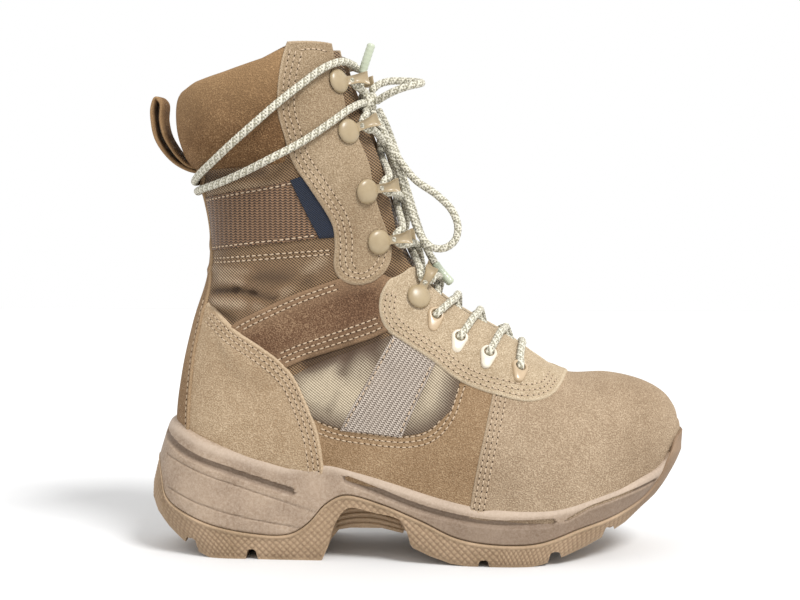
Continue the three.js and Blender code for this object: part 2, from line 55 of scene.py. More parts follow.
cameraView = {"place": (0.1233, -0.9178, 0.2022), "aim": (0.0762, -0.019, 0.1361), "lens": 76.7, "sensor": 36}
cameraData = bpy.data.cameras.new("camera")
cameraData.lens = cameraView["lens"]
cameraData.sensor_width = cameraView["sensor"]
camera = newObject("camera", cameraData)
camera.location = cameraView["place"]
cameraAim = Vector(cameraView["aim"]) - Vector(cameraView["place"])
camera.rotation_euler = cameraAim.to_track_quat("-Z", "Y").to_euler()
bpy.context.scene.camera = camera


# Materials: a colour, a node with its links, and what every finish shares

def linear(code):
    parts = [int(code[i:i + 2], 16) / 255 for i in (1, 3, 5)]
    return tuple(p / 12.92 if p <= 0.04045 else ((p + 0.055) / 1.055) ** 2.4 for p in parts) + (1.0,)


def addNode(tree, kind, inputs=None, out=0, **settings):
    # inputs are numbers, colours or outputs of other nodes; out is the output to go on with
    node = tree.nodes.new("ShaderNode" + kind)
    for key, value in settings.items():
        setattr(node, key, value)
    for key, value in (inputs or {}).items():
        if isinstance(value, bpy.types.NodeSocket):
            tree.links.new(value, node.inputs[key])
        else:
            node.inputs[key].default_value = value
    return node.outputs[out]


def newMaterial(name):
    material = bpy.data.materials.new(name)
    material.use_nodes = True
    tree = material.node_tree
    return material, tree, tree.nodes["Principled BSDF"]


def finish(tree, shader, colour, height, strength, distance, **sockets):
    tree.links.new(colour, shader.inputs["Base Color"])
    bump = addNode(tree, "Bump", {"Height": height, "Strength": strength, "Distance": distance})
    tree.links.new(bump, shader.inputs["Normal"])
    for key, value in sockets.items():
        shader.inputs[key].default_value = value


def suede(name, base, light, dark, wearAndLightReach=1.3):
    # split leather, buffed: short nap in fine light and dark tufts, brushed a little lighter in patches;
    # within the given reach of its border the piece turns pale: rubbed wear on narrow rims, painted light
    # from above on the collar's top
    material, tree, shader = newMaterial(name)
    place = addNode(tree, "TexCoord", out="Object")
    fibre, patch, mottle = (
        addNode(tree, "TexNoise", {"Vector": place, "Scale": 1 / (size * mm), "Detail": detail,
                                   "Roughness": roughness})
        for size, detail, roughness in ((0.7, 1.5, 0.5), (38, 2.0, 0.4), (6, 2.0, 0.5)))
    fibre = addNode(tree, "MapRange", {"Value": fibre, "From Min": 0.33, "From Max": 0.67})
    patch = addNode(tree, "MapRange", {"Value": patch, "From Min": 0.3, "From Max": 0.7,
                                       "To Min": -0.02, "To Max": 0.22})
    mottle = addNode(tree, "MapRange", {"Value": mottle, "From Min": 0.3, "From Max": 0.7,
                                        "To Min": -0.05, "To Max": 0.05})
    tone = addNode(tree, "MapRange", {"Value": fibre, "To Min": 0.1, "To Max": 0.62})
    tone = addNode(tree, "Math", {0: tone, 1: patch})
    tone = addNode(tree, "Math", {0: tone, 1: mottle})
    toBase = addNode(tree, "MapRange", {"Value": tone, "From Max": 0.5})
    toLight = addNode(tree, "MapRange", {"Value": tone, "From Min": 0.5})
    colour = addNode(tree, "Mix", {0: toBase, 6: linear(dark), 7: linear(base)}, 2, data_type="RGBA")
    colour = addNode(tree, "Mix", {0: toLight, 6: colour, 7: linear(light)}, 2, data_type="RGBA")
    border = addNode(tree, "Attribute", out="Fac", attribute_name="border")
    rim = addNode(tree, "MapRange", {"Value": border, "From Min": 0.5, "From Max": wearAndLightReach,
                                     "To Min": 0.45, "To Max": 0.0})
    colour = addNode(tree, "Mix", {0: rim, 6: colour, 7: linear(light)}, 2, data_type="RGBA")
    finish(tree, shader, colour, fibre, 0.75, 0.4 * mm, Roughness=0.95,
           **{"Sheen Weight": 0.08, "Sheen Roughness": 0.6, "Sheen Tint": linear(light),
              "Specular IOR Level": 0.12})
    return material


def woven(name, base, light, dark, thread=1.15, turn=0.0, ribs=False, shaded=0, pale=None):
    # woven nylon: yarns stand up in rows with a faint sheen; thread is their pitch in mm, a little coarse
    material, tree, shader = newMaterial(name)
    place = addNode(tree, "TexCoord", out="Object")
    turned = addNode(tree, "Mapping", {"Vector": place, "Rotation": (0, turn, 0)})
    step = 2 * math.pi / (thread * mm)
    ways = [(step * 0.62, 0.0, step * 0.78), (step * 0.78, 0.0, -step * 0.62)]
    if ribs:
        ways = [(0.0, 0.0, step), (step * 0.5, 0.0, 0.0)]
    runs = [addNode(tree, "VectorMath", {0: turned, 1: way}, "Value", operation="DOT_PRODUCT")
            for way in ways]
    rows, columns = (addNode(tree, "Math", {0: run}, operation="SINE") for run in runs)
    if ribs:  # webbing: columns of chevrons, so the rows' phase swings from column to column
        swing = addNode(tree, "Math", {0: columns, 1: 1.5}, operation="MULTIPLY")
        swung = addNode(tree, "Math", {0: runs[0], 1: swing})
        rows = addNode(tree, "Math", {0: swung}, operation="SINE")
    lower = addNode(tree, "Math", {0: columns, 1: 0.55}, operation="MULTIPLY")
    fuzz = addNode(tree, "TexNoise", {"Vector": place, "Scale": 1 / (1.6 * mm), "Detail": 4.0})
    height = addNode(tree, "Math", {0: rows, 1: lower})
    height = addNode(tree, "Math", {0: height, 1: fuzz})
    shade = addNode(tree, "MapRange", {"Value": height, "From Min": -0.3, "From Max": 1.4})
    colour = addNode(tree, "Mix", {0: shade, 6: linear(dark), 7: linear(light)}, 2, data_type="RGBA")
    patch = addNode(tree, "TexNoise", {"Vector": place, "Scale": 1 / (18 * mm), "Detail": 2.0})
    patch = addNode(tree, "MapRange", {"Value": patch, "From Min": 0.3, "From Max": 0.7, "To Max": 0.4})
    colour = addNode(tree, "Mix", {0: patch, 6: colour, 7: linear(base)}, 2, data_type="RGBA")
    if shaded:  # painted shade by the border, where the cloth runs under the pieces round it, over so many mm
        border = addNode(tree, "Attribute", out="Fac", attribute_name="border")
        borderShade = addNode(tree, "MapRange", {"Value": border, "From Min": shaded * 0.2, "From Max": shaded,
                                          "To Min": 0.75, "To Max": 0.0})
        colour = addNode(tree, "Mix", {0: borderShade, 6: colour, 7: linear(dark)}, 2, data_type="RGBA")
    if pale:  # a creased cloth: troughs get painted shade, ridges a painted highlight in this tone
        fold = addNode(tree, "Attribute", out="Fac", attribute_name="fold")
        troughShade = addNode(tree, "MapRange", {"Value": fold, "From Max": 1.8, "To Max": 0.75})
        ridge = addNode(tree, "MapRange", {"Value": fold, "From Max": -1.5, "To Max": 0.7})
        colour = addNode(tree, "Mix", {0: troughShade, 6: colour, 7: linear(dark)}, 2, data_type="RGBA")
        wornAndLit = addNode(tree, "Mix", {0: shade, 6: linear(base), 7: linear(pale)}, 2, data_type="RGBA")
        colour = addNode(tree, "Mix", {0: ridge, 6: colour, 7: wornAndLit}, 2, data_type="RGBA")
    finish(tree, shader, colour, height, 0.8, 0.3 * mm, Roughness=0.6,
           **{"Sheen Weight": 0.05, "Specular IOR Level": 0.4})
    return material


def moulded(name, base, light, dark, deep, grain=1.3, bump=0.25, roughness=0.62):
    # moulded foam or rubber: a leathery grain from the mould, painted shade in the hollows, a painted
    # highlight on the crests; its border value is a mark, up to 1 in a hollow and negative on a crest
    material, tree, shader = newMaterial(name)
    place = addNode(tree, "TexCoord", out="Object")
    cells = addNode(tree, "TexNoise", {"Vector": place, "Scale": 1 / (grain * mm), "Detail": 2.5,
                                       "Distortion": 0.8})
    broad = addNode(tree, "TexNoise", {"Vector": place, "Scale": 1 / (20 * mm), "Detail": 5.0})
    broad = addNode(tree, "MapRange", {"Value": broad, "From Min": 0.3, "From Max": 0.7})
    fine = addNode(tree, "MapRange", {"Value": cells, "From Min": 0.3, "From Max": 0.7})
    fine = addNode(tree, "Math", {0: fine, 1: 0.35}, operation="MULTIPLY")
    colour = addNode(tree, "Mix", {0: broad, 6: linear(dark), 7: linear(base)}, 2, data_type="RGBA")
    colour = addNode(tree, "Mix", {0: fine, 6: colour, 7: linear(light)}, 2, data_type="RGBA")
    mark = addNode(tree, "Attribute", out="Fac", attribute_name="border")
    hollow = addNode(tree, "MapRange", {"Value": mark, "From Min": 0.1, "From Max": 0.9, "To Max": 0.45})
    crest = addNode(tree, "MapRange", {"Value": mark, "From Max": -1.0, "To Max": 0.45})
    colour = addNode(tree, "Mix", {0: hollow, 6: colour, 7: linear(deep)}, 2, data_type="RGBA")
    colour = addNode(tree, "Mix", {0: crest, 6: colour, 7: linear(light)}, 2, data_type="RGBA")
    finish(tree, shader, colour, cells, bump, 0.4 * mm, Roughness=roughness, **{"Specular IOR Level": 0.35})
    return material


def painted(name, base, dark, roughness=0.36, coat=0.25):
    # satin paint on pressed brass, or glossy moulded plastic: even colour, slight orange peel, rubbed in
    # patches
    material, tree, shader = newMaterial(name)
    place = addNode(tree, "TexCoord", out="Object")
    peel = addNode(tree, "TexNoise", {"Vector": place, "Scale": 1 / (1.5 * mm), "Detail": 2.0})
    wornAndLit = addNode(tree, "TexNoise", {"Vector": place, "Scale": 1 / (5 * mm), "Detail": 5.0})
    wornAndLit = addNode(tree, "MapRange", {"Value": wornAndLit, "From Min": 0.42, "From Max": 0.75, "To Max": 0.6})
    colour = addNode(tree, "Mix", {0: wornAndLit, 6: linear(base), 7: linear(dark)}, 2, data_type="RGBA")
    finish(tree, shader, colour, peel, 0.12, 0.15 * mm,
           Roughness=roughness, **{"Coat Weight": coat, "Coat Roughness": 0.25})
    return material


def braided(name, base, fleck, dark):
    # round braid: two families of yarns cross in diamonds, off-white with olive tracer yarns
    material, tree, shader = newMaterial(name)
    place = addNode(tree, "UVMap", uv_map="yarn")
    waves = []
    for run, turns in ((0.42, 4), (0.42, -4), (0.21, 2)):
        way = (2 * math.pi * run, 2 * math.pi * turns, 0)
        turned = addNode(tree, "VectorMath", {0: place, 1: way}, "Value", operation="DOT_PRODUCT")
        waves.append(addNode(tree, "Math", {0: turned}, operation="SINE"))
    first, second, tracer = waves
    height = addNode(tree, "Math", {0: first, 1: second}, operation="MAXIMUM")
    over = addNode(tree, "Math", {0: second, 1: 0.15}, operation="GREATER_THAN")
    traced = addNode(tree, "Math", {0: tracer, 1: -0.15}, operation="GREATER_THAN")
    seen = addNode(tree, "Math", {0: over, 1: traced}, operation="MULTIPLY")
    seen = addNode(tree, "Math", {0: seen, 1: 0.7}, operation="MULTIPLY")
    colour = addNode(tree, "Mix", {0: seen, 6: linear(base), 7: linear(fleck)}, 2, data_type="RGBA")
    # the valleys between the yarns get painted shade
    valley = addNode(tree, "MapRange", {"Value": height, "From Min": -0.7, "From Max": 0.1,
                                        "To Min": 0.75, "To Max": 0.0})
    colour = addNode(tree, "Mix", {0: valley, 6: colour, 7: linear(dark)}, 2, data_type="RGBA")
    finish(tree, shader, colour, height, 0.7, 0.35 * mm, Roughness=0.8,
           **{"Sheen Weight": 0.15, "Specular IOR Level": 0.25})
    return material


def dyed(name, base, light, size):
    # thread, lining or small plain pieces: one dye, broken by fibre of this size in mm
    material, tree, shader = newMaterial(name)
    place = addNode(tree, "TexCoord", out="Object")
    fibre = addNode(tree, "TexNoise", {"Vector": place, "Scale": 1 / (size * mm), "Detail": 3.0})
    tone = addNode(tree, "MapRange", {"Value": fibre, "From Min": 0.35, "From Max": 0.65})
    colour = addNode(tree, "Mix", {0: tone, 6: linear(base), 7: linear(light)}, 2, data_type="RGBA")
    finish(tree, shader, colour, fibre, 0.4, 0.2 * mm, Roughness=0.85, **{"Specular IOR Level": 0.25})
    return material


toeSuede = suede("suede leather, buffed, light tan", "#9f8a72", "#c6b298", "#7a654f")
staySuede = suede("suede leather, buffed, pale tan", "#b09d83", "#d8c8ad", "#8c785d")
heelSuede = suede("suede leather, buffed, tan", "#aa9377", "#cfb99c", "#876d51")
quarterSuede = suede("suede leather, buffed, warm tan", "#957b5e", "#b9a081", "#73593e")
# the strap pales over 12 mm towards its border and stays darker in its middle
strapSuede = suede("suede leather, buffed, brown tan", "#6b503c", "#a3886b", "#412e22", wearAndLightReach=12.0)
backSuede = suede("suede leather, buffed, dark tan", "#8b7054", "#b39a7b", "#665039")
shaftSuede = suede("suede leather, buffed, grey tan", "#9b876d", "#c0ab90", "#7b644b")
# the collar's pale top is painted light from above, through the border marks that makeCollar sets
collarSuede = suede("suede leather, buffed, brown", "#73563a", "#ac8d68", "#4a3421", wearAndLightReach=8.5)
# the shaft's nylon gets painted shade in its fold troughs and a painted highlight, the pale tone, on its
# ridges
shaftNylon = woven("nylon cloth, twill woven", "#6b5036", "#a3845f", "#33200f", pale="#d6c2a4")
bandNylon = woven("nylon webbing, chevron woven", "#624833", "#957355", "#2b1a0e", thread=1.35, ribs=True)
# the window's cloth is a paler, painted-lit copy of the shaft's nylon, with painted shade by its border
windowNylon = woven("nylon cloth, twill woven, rubbed pale", "#ab9a80", "#cdbfa6", "#4f3a2a", shaded=10,
                    pale="#d9c9ad")
windowBand = woven("nylon webbing, chevron woven, pale", "#a09182", "#d1c4b6", "#58493d", thread=1.2,
                   turn=math.radians(-34), ribs=True)
tongueNylon = woven("nylon cloth, woven, brown", "#66523f", "#937d66", "#38281b", thread=1.4)
liningKnit = dyed("polyester knit, brown", "#443424", "#5d4935", 1.2)
liningFoot = dyed("felted footbed, brown", "#4c3c2a", "#66533d", 1.5)
midFoam = moulded("foam, moulded, leather grained", "#9d8873", "#c9b7a5", "#7d6854", "#513e30")
soleRubber = moulded("rubber, moulded", "#a68d72", "#c5ad90", "#877055", "#654a38", grain=1.0,
                     bump=0.15, roughness=0.7)
hookPaint = painted("brass hook, satin painted tan", "#a39172", "#8f7b5c")
eyeletPaintedGlint = painted("nylon eyelet, moulded, glossy", "#d8cfbe", "#c0b199", 0.22, 0.5)
eyeletTan = painted("nylon eyelet, moulded, tan", "#b8a182", "#a08a6c", 0.3, 0.4)
laceBraid = braided("polyester lace, round braided", "#d8d3c2", "#716b4c", "#554e3b")
threadPale = dyed("polyester thread, pale tan", "#a8927a", "#ccb79d", 0.5)
needleHoleShade = dyed("needle hole, dark", "#2c1d12", "#3a291b", 0.6)
tabNavy = woven("woven tab, navy", "#111a29", "#1b2a44", "#090e17", thread=0.9)
tipPlastic = painted("acetate lace tip, pale green", "#b9c0aa", "#a3ac8f", 0.25, 0.4)
print("materials made")


# Curves, grids and pieces

def centripetal(points, spacing=1.0, closed=False, each=None):
    points = np.asarray(points, float)
    if closed:
        ring = np.vstack([points[-1:], points, points[:2]])
    else:
        ring = np.vstack([2 * points[:1] - points[1:2], points, 2 * points[-1:] - points[-2:-1]])
    made = []
    for i in range(1, len(ring) - 2):
        a, b, c, d = ring[i - 1:i + 3]
        u, v, w = (max(1e-6, np.linalg.norm(q - p) ** 0.5) for p, q in ((a, b), (b, c), (c, d)))
        start = ((b - a) / u - (c - a) / (u + v) + (c - b) / v) * v
        end = ((c - b) / v - (d - b) / (v + w) + (d - c) / w) * v
        count = each or max(2, int(math.ceil(v * v / spacing)))
        t = (np.arange(count) / count)[:, None]
        made.append((2 * t**3 - 3 * t**2 + 1) * b + (t**3 - 2 * t**2 + t) * start
                    + (3 * t**2 - 2 * t**3) * c + (t**3 - t**2) * end)
    if not closed:
        made.append(points[-1:])
    return np.vstack(made)


def runOf(points):
    # how far along its line each point is
    return np.concatenate([[0], np.cumsum(np.linalg.norm(np.diff(points, axis=0), axis=1))])


def unit(vectors):
    return vectors / np.maximum(np.linalg.norm(vectors, axis=-1, keepdims=True), 1e-9)


def resampled(points, count=None, spacing=None):
    points = np.asarray(points, float)
    run = runOf(points)
    if spacing:
        count = max(3, int(round(run[-1] / spacing)) + 1)
    at = np.linspace(0, 1, count) * run[-1]
    return np.stack([np.interp(at, run, points[:, k]) for k in range(points.shape[1])], -1)


def gridFrom(points, yarn=None, border=None):
    rows, columns = points.shape[:2]
    work = bmesh.new()
    bmesh.ops.create_grid(work, x_segments=rows - 1, y_segments=columns - 1, size=1)
    layer = work.loops.layers.uv.new("yarn") if yarn is not None else None
    mark = work.verts.layers.float.new("border") if border is not None else None
    places = {}
    for vert in work.verts:
        i, j = round((vert.co.x + 1) / 2 * (rows - 1)), round((vert.co.y + 1) / 2 * (columns - 1))
        places[vert] = (i, j)
        vert.co = points[i, j] * mm
        if mark:
            vert[mark] = border[i, j]
    if layer:
        for face in work.faces:
            for loop in face.loops:
                loop[layer].uv = yarn[places[loop.vert]]
    return work


def meshOf(work, name):
    mesh = bpy.data.meshes.new(name)
    work.to_mesh(mesh)
    work.free()
    return mesh


def plainObject(work):
    return newObject("work", meshOf(work, "work"))


def workOf(body):
    # an object's mesh, taken up for more work; the object goes
    work = bmesh.new()
    work.from_mesh(body.data)
    bpy.data.objects.remove(body)
    return work


def closeUp(work, merge=0.000005):
    # weld what touches and fill what stays open
    bmesh.ops.remove_doubles(work, verts=work.verts, dist=merge)
    rim = [edge for edge in work.edges if edge.is_boundary]
    if rim:
        bmesh.ops.holes_fill(work, edges=rim, sides=0)


def addPiece(work, name, materials, replaces=(), merge=0.000005, sharp=50):
    bmesh.ops.remove_doubles(work, verts=work.verts, dist=merge)
    bmesh.ops.dissolve_degenerate(work, dist=1e-7, edges=work.edges)
    bmesh.ops.recalc_face_normals(work, faces=work.faces)
    mesh = meshOf(work, name)
    mesh.shade_smooth()
    mesh.set_sharp_from_angle(angle=math.radians(sharp))
    piece = newObject(name, mesh)
    for material in materials if isinstance(materials, (list, tuple)) else [materials]:
        mesh.materials.append(material)
    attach(piece, "root")
    if replaces:
        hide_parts(*replaces)
    return piece


def treeOf(*pieces):
    corners, faces = [], []
    for piece in pieces:
        start = len(corners)
        corners.extend(v.co for v in piece.data.vertices)
        faces.extend(tuple(start + i for i in p.vertices) for p in piece.data.polygons)
    return BVHTree.FromPolygons(corners, faces)


# Laces: a tube with yarn coordinates along and round it

laceRadius = 2.0
laceForm = {"sides": 14, "waves": 0.035, "waveLength": 2.4, "each": 0.5}
tubeEnd = {"ringOut": 0.38, "ringWide": 0.72, "tipOut": 0.55}  # shares of the radius


def tubeGrid(route, radius, sides=laceForm["sides"], spacing=0.8, waves=0.0):
    path = resampled(route, spacing=spacing)
    ahead = unit(np.gradient(path, axis=0))
    across = np.cross(ahead[0], [0, 0, 1.0] if abs(ahead[0][2]) < 0.9 else [1.0, 0, 0])
    frames = []
    for way in ahead:
        across = across - way * across.dot(way)
        across /= np.linalg.norm(across)
        frames.append((across, np.cross(way, across)))
    turn = np.linspace(0, 2 * math.pi, sides + 1)
    run = np.arange(len(path)) * spacing
    radii = radius * (1 + waves * np.sin(run * 2 * math.pi / laceForm["waveLength"]))
    points = np.array([p + r * (np.cos(turn)[:, None] * a + np.sin(turn)[:, None] * b)
                       for p, r, (a, b) in zip(path, radii, frames)])
    for end, way in ((0, -1), (-1, 1)):  # a rounded end: two more rings, the last a point
        out = ahead[end] * way * radius
        tip = path[end] + out * tubeEnd["tipOut"]
        ring = path[end] + (points[end] - path[end]) * tubeEnd["ringWide"] + out * tubeEnd["ringOut"]
        extra = [np.repeat(tip[None], sides + 1, 0), ring]
        points = np.concatenate([extra, points]) if end == 0 else np.concatenate([points, extra[::-1]])
    yarn = np.stack(np.meshgrid(np.arange(len(points)) * spacing, turn / (2 * math.pi), indexing="ij"), -1)
    return points, yarn


def join(work, other):
    spare = meshOf(other, "spare")
    work.from_mesh(spare)
    bpy.data.meshes.remove(spare)


def laceTube(name, route, radius=laceRadius, replaces=(), material=laceBraid, extra=()):
    work, *others = (gridFrom(*tubeGrid(line, radius, waves=laceForm["waves"])) for line in (route, *extra))
    for other in others:
        join(work, other)
    return addPiece(work, name, material, replaces, sharp=180)


freeLace = {
    "lace_wrap_high": [
        [52, -15, 259.5], [46.5, -27.5, 261], [38, -38.4, 257], [28, -44, 249.2], [16, -50.8, 239],
        [4, -54.6, 228.2], [-8, -52.6, 218], [-19, -44.6, 209], [-28, -31, 202.6], [-33.4, -15, 198.8],
        [-34.6, 2, 198.4], [-31.6, 18, 199.5], [-27.8, 26.4, 199.5], [-18, 37, 201.2], [-4, 46.4, 205],
        [12, 52, 210.8], [28, 45.6, 219], [42, 40.8, 228.5], [51, 32, 236], [57.6, 19, 241.6],
        [60.6, 7, 243], [61, -3, 242]],
    "lace_wrap_low": [
        [52, 15, 259.5], [46.5, 27.5, 261], [38, 38.2, 257], [28, 43.7, 249.2], [16, 50.6, 239],
        [4, 54.4, 228.2], [-8, 52.4, 218], [-19, 47, 209], [-28.4, 34.4, 202], [-34.6, 20.4, 195.6],
        [-34.4, 4, 193.2], [-32, -13.6, 193.6], [-27, -26.2, 195], [-18, -36.4, 197.6], [-4, -45.4, 203],
        [12, -52, 210.5], [28, -45.8, 219.4], [42, -40.9, 229.2], [50, -33.6, 235.6],
        [55, -24, 239], [57, -17.6, 240]],
    "lace_loop_long": [
        [62.6, -9, 235.5], [65.4, -7, 229], [69, -6.4, 221], [74, -7, 212], [83.6, -9, 199.8],
        [95.4, -11, 191.5], [103.4, -12, 183.4], [106.6, -13, 174.8], [105, -14, 167.4], [99.4, -14.6, 163.4],
        [93, -14, 163.8], [87.8, -12, 168.6], [84.2, -9, 175.4], [81.6, -6.6, 182.6], [79, -5.6, 190.6],
        [76.6, -5.6, 198.6], [73.4, -5.8, 208], [69.8, -9, 217.5], [65.8, -12.5, 227], [61.2, -13, 235.3]],
    "lace_loop_short": [
        [63.6, -13.4, 241], [68, -16, 243.6], [74, -18, 246.4], [80.4, -17.4, 248.6], [85.6, -13, 250],
        [87, -6.6, 251], [84, -1, 251.8], [77.4, 1, 252.3], [70, -0.4, 252.2], [64, -4, 250.2],
        [60.6, -7.4, 246.9]],
    "lace_end_up": [
        [55, -11, 246.6], [54.8, -11, 251], [56.2, -10.5, 257.5], [58.4, -10, 264.5], [60.4, -9.5, 270.5]],
    "lace_end_down": [
        [64, -3.6, 236.5], [67.4, -0.6, 229.5], [71.2, 0, 219.5], [74.6, 0.4, 209.5], [77.4, 0.8, 199.5],
        [80.4, 0.8, 189.5], [83.4, 0.8, 179.5], [86.8, 0.4, 169.5], [91, 0, 160], [96.4, -1, 151.4],
        [102.4, -2, 144.6]],
}


knotPlace = [58.2, -10.6, 240.6]
knotTurns = [  # two turns of lace drawn tight over each other
    [[-3.4, -2.6, -2.8], [0.4, -4.6, -1.2], [3.2, -2.6, 1.6], [2.6, 1.6, 3.4],
     [-1.2, 3.8, 2.2], [-3.6, 1.8, -0.6], [-1.6, -2.2, -3.2], [1.8, -3.4, -2.8]],
    [[-2.8, 2.8, 1.4], [0.6, 3.8, -1.8], [2.8, 1.2, -3.2], [3.0, -2.4, -1.4],
     [1.0, -4.2, 1.8], [-2.0, -2.0, 3.2], [-2.8, 1.4, 2.4]],
]
turns = [centripetal(np.array(turn) + knotPlace, 0.6) for turn in knotTurns]
knotPiece = laceTube("knot_of_lace", turns[0], replaces=["lace_knot"], extra=turns[1:])
for name, route in freeLace.items():
    laceTube(name + "_braid", centripetal(route, laceForm["each"]), replaces=[name])


def lacePoint(name, end, share, radius):
    # the plastic tip over the last share of an end
    line = centripetal(freeLace[end], laceForm["each"])
    return laceTube(name, line[-int(len(line) * share):], radius, material=tipPlastic)


upTip = lacePoint("lace_tip_up", "lace_end_up", 0.62, 2.23)
downTip = lacePoint("lace_tip_down", "lace_end_down", 0.13, 2.35)

print("cords made")


# The last: each row is a plane that holds the Y axis, from the low point (sole or back) to the high point

lastColumns = ["lowX", "lowZ", "highX", "highZ", "lateral", "medial", "widest", "lowSquare", "highSquare",
               "lowY", "highY", "push", "throat"]
lastRows = np.array([
    [224.6, 59, 224.6, 69, 4, 16, 0.5, 2, 2, 10, 10, 1, 0],
    [222.6, 52, 222.6, 76, -2, 22.5, 0.46, 2.1, 2, 10, 10, 0.95, 0],
    [217, 44, 216.5, 84, -10.5, 29.5, 0.45, 2.4, 2.1, 9.5, 10, 0.7, 0],
    [206.5, 32, 204.5, 90.5, -22, 37, 0.41, 3, 2.2, 7.5, 9, 0.35, 0],
    [189, 19, 187, 94.3, -34.5, 43.5, 0.36, 3.5, 2.3, 4, 8, 0.1, 0],
    [167, 13, 165, 94.6, -43, 47, 0.31, 4, 2.2, 1.5, 7, 0, 0],
    [144, 12, 149, 104, -47, 47, 0.28, 4, 2.05, 0, 5.5, 0, 6],
    [118, 12, 131, 118, -46.5, 44, 0.27, 4, 1.95, -1, 4, 0, 9],
    [86, 19, 114, 129, -42.5, 39, 0.27, 3.6, 1.9, 0, 3, 0, 10.5],
    [50, 27, 101, 138.5, -38.5, 35.5, 0.28, 3.4, 1.95, 0, 2, 0, 11],
    [12, 31, 91, 149, -36.5, 34.5, 0.29, 3.2, 2.1, 0, 1, 0, 12],
    [-22, 33, 85, 158, -36, 34.5, 0.33, 2.8, 2.2, 0, 1, 0, 13],
    [-40, 45, 81.5, 164, -35.5, 34.5, 0.38, 2.5, 2.25, 0, 0.5, 0, 13.5],
    [-45, 68, 79, 171, -35.5, 34.5, 0.42, 2.4, 2.3, 0, 0, 0, 14],
    [-42, 96, 76.5, 180, -35.5, 35, 0.45, 2.35, 2.35, 0, 0, 0, 14.5],
    [-35.5, 124, 73.5, 190, -36.5, 36, 0.48, 2.3, 2.4, 0, 0, 0, 15],
    [-27.5, 149, 70, 202, -39, 38.5, 0.5, 2.3, 2.45, 0, 0, 0, 15.5],
    [-26, 172, 65.5, 215, -41.5, 41, 0.5, 2.3, 2.5, 0, 0, 0, 16],
    [-30.5, 196, 59.5, 230, -43, 42.5, 0.5, 2.3, 2.5, 0, 0, 0, 16.5],
    [-36, 214, 53.5, 245, -43.5, 43, 0.5, 2.3, 2.5, 0, 0, 0, 17],
    [-39, 234, 48, 261, -43.5, 43, 0.5, 2.3, 2.5, 0, 0, 0, 17.5],
    [-40, 256, 42, 282, -43.5, 43, 0.5, 2.3, 2.5, 0, 0, 0, 18],
])
lastEnd = len(lastRows) - 1
lastSlopes = np.gradient(lastRows, axis=0)


def sectionAt(order, inset=0.0):
    order = np.clip(np.asarray(order, float), 0, lastEnd)
    start = np.minimum(order.astype(int), lastEnd - 1)
    t = (order - start)[..., None]
    values = ((2 * t**3 - 3 * t**2 + 1) * lastRows[start] + (t**3 - 2 * t**2 + t) * lastSlopes[start]
              + (3 * t**2 - 2 * t**3) * lastRows[start + 1] + (t**3 - t**2) * lastSlopes[start + 1])
    section = {key: values[..., i] for i, key in enumerate(lastColumns)}
    low = np.stack([section["lowX"], section["lowZ"]], -1)
    high = np.stack([section["highX"], section["highZ"]], -1)
    up = (high - low) / np.linalg.norm(high - low, axis=-1, keepdims=True)
    inset = np.asarray(inset, float)[..., None]
    back = np.stack([-up[..., 1], up[..., 0]], -1) * inset * section["push"][..., None]
    section.update(up=up, low=low + up * inset + back, high=high - up * inset + back,
                   lateral=section["lateral"] + inset[..., 0], medial=section["medial"] - inset[..., 0])
    return section


def pointOn(order, angle, inset=0.0):
    angle = np.asarray(angle, float)
    s = sectionAt(order, inset)
    rise, across = np.sin(angle), np.cos(angle)
    power = 2 / np.where(rise < 0, s["lowSquare"], s["highSquare"])
    share = s["widest"] + np.where(rise < 0, -s["widest"], 1 - s["widest"]) * np.abs(rise) ** power
    middle = s["lowY"] + (s["highY"] - s["lowY"]) * share
    edge = np.where(across > 0, s["medial"], s["lateral"])
    y = middle + (edge - middle) * np.abs(across) ** power
    flat = s["low"] + (s["high"] - s["low"]) * share[..., None]
    return np.stack([flat[..., 0], y, flat[..., 1]], -1)


def placeOn(x, z, side):
    # the (order, angle) at a point of the side view, by halving the span of orders
    x, z = np.broadcast_arrays(np.asarray(x, float), np.asarray(z, float))
    near, far = np.zeros(x.shape), np.full(x.shape, float(lastEnd))
    for _ in range(40):
        middle = (near + far) / 2
        s = sectionAt(middle)
        ahead = s["up"][..., 0] * (z - s["low"][..., 1]) - s["up"][..., 1] * (x - s["low"][..., 0]) > 0
        near, far = np.where(ahead, middle, near), np.where(ahead, far, middle)
    s = sectionAt(near)
    length = np.linalg.norm(s["high"] - s["low"], axis=-1)
    share = ((x - s["low"][..., 0]) * s["up"][..., 0] + (z - s["low"][..., 1]) * s["up"][..., 1]) / length
    isHigh = share > s["widest"]
    part = np.clip(np.abs(share - s["widest"]) / np.where(isHigh, 1 - s["widest"], s["widest"]), 0, 1)
    square = np.where(isHigh, s["highSquare"], s["lowSquare"])
    turn = np.arcsin(part ** (square / 2)) * np.where(isHigh, 1, -1)
    return near, np.where(side > 0, turn, math.pi - turn)


def reliefAt(x, z):
    # how deep the folds of the empty boot are at a point of the side view
    depth = np.zeros(np.shape(x))
    for fromX, fromZ, toX, toZ, width, deep in folds:
        way = np.array([toX - fromX, toZ - fromZ], float)
        share = np.clip(((x - fromX) * way[0] + (z - fromZ) * way[1]) / way.dot(way), 0, 1)
        away = np.hypot(x - fromX - share * way[0], z - fromZ - share * way[1])
        depth = depth + deep * np.exp(-(away / width) ** 2)
    return depth


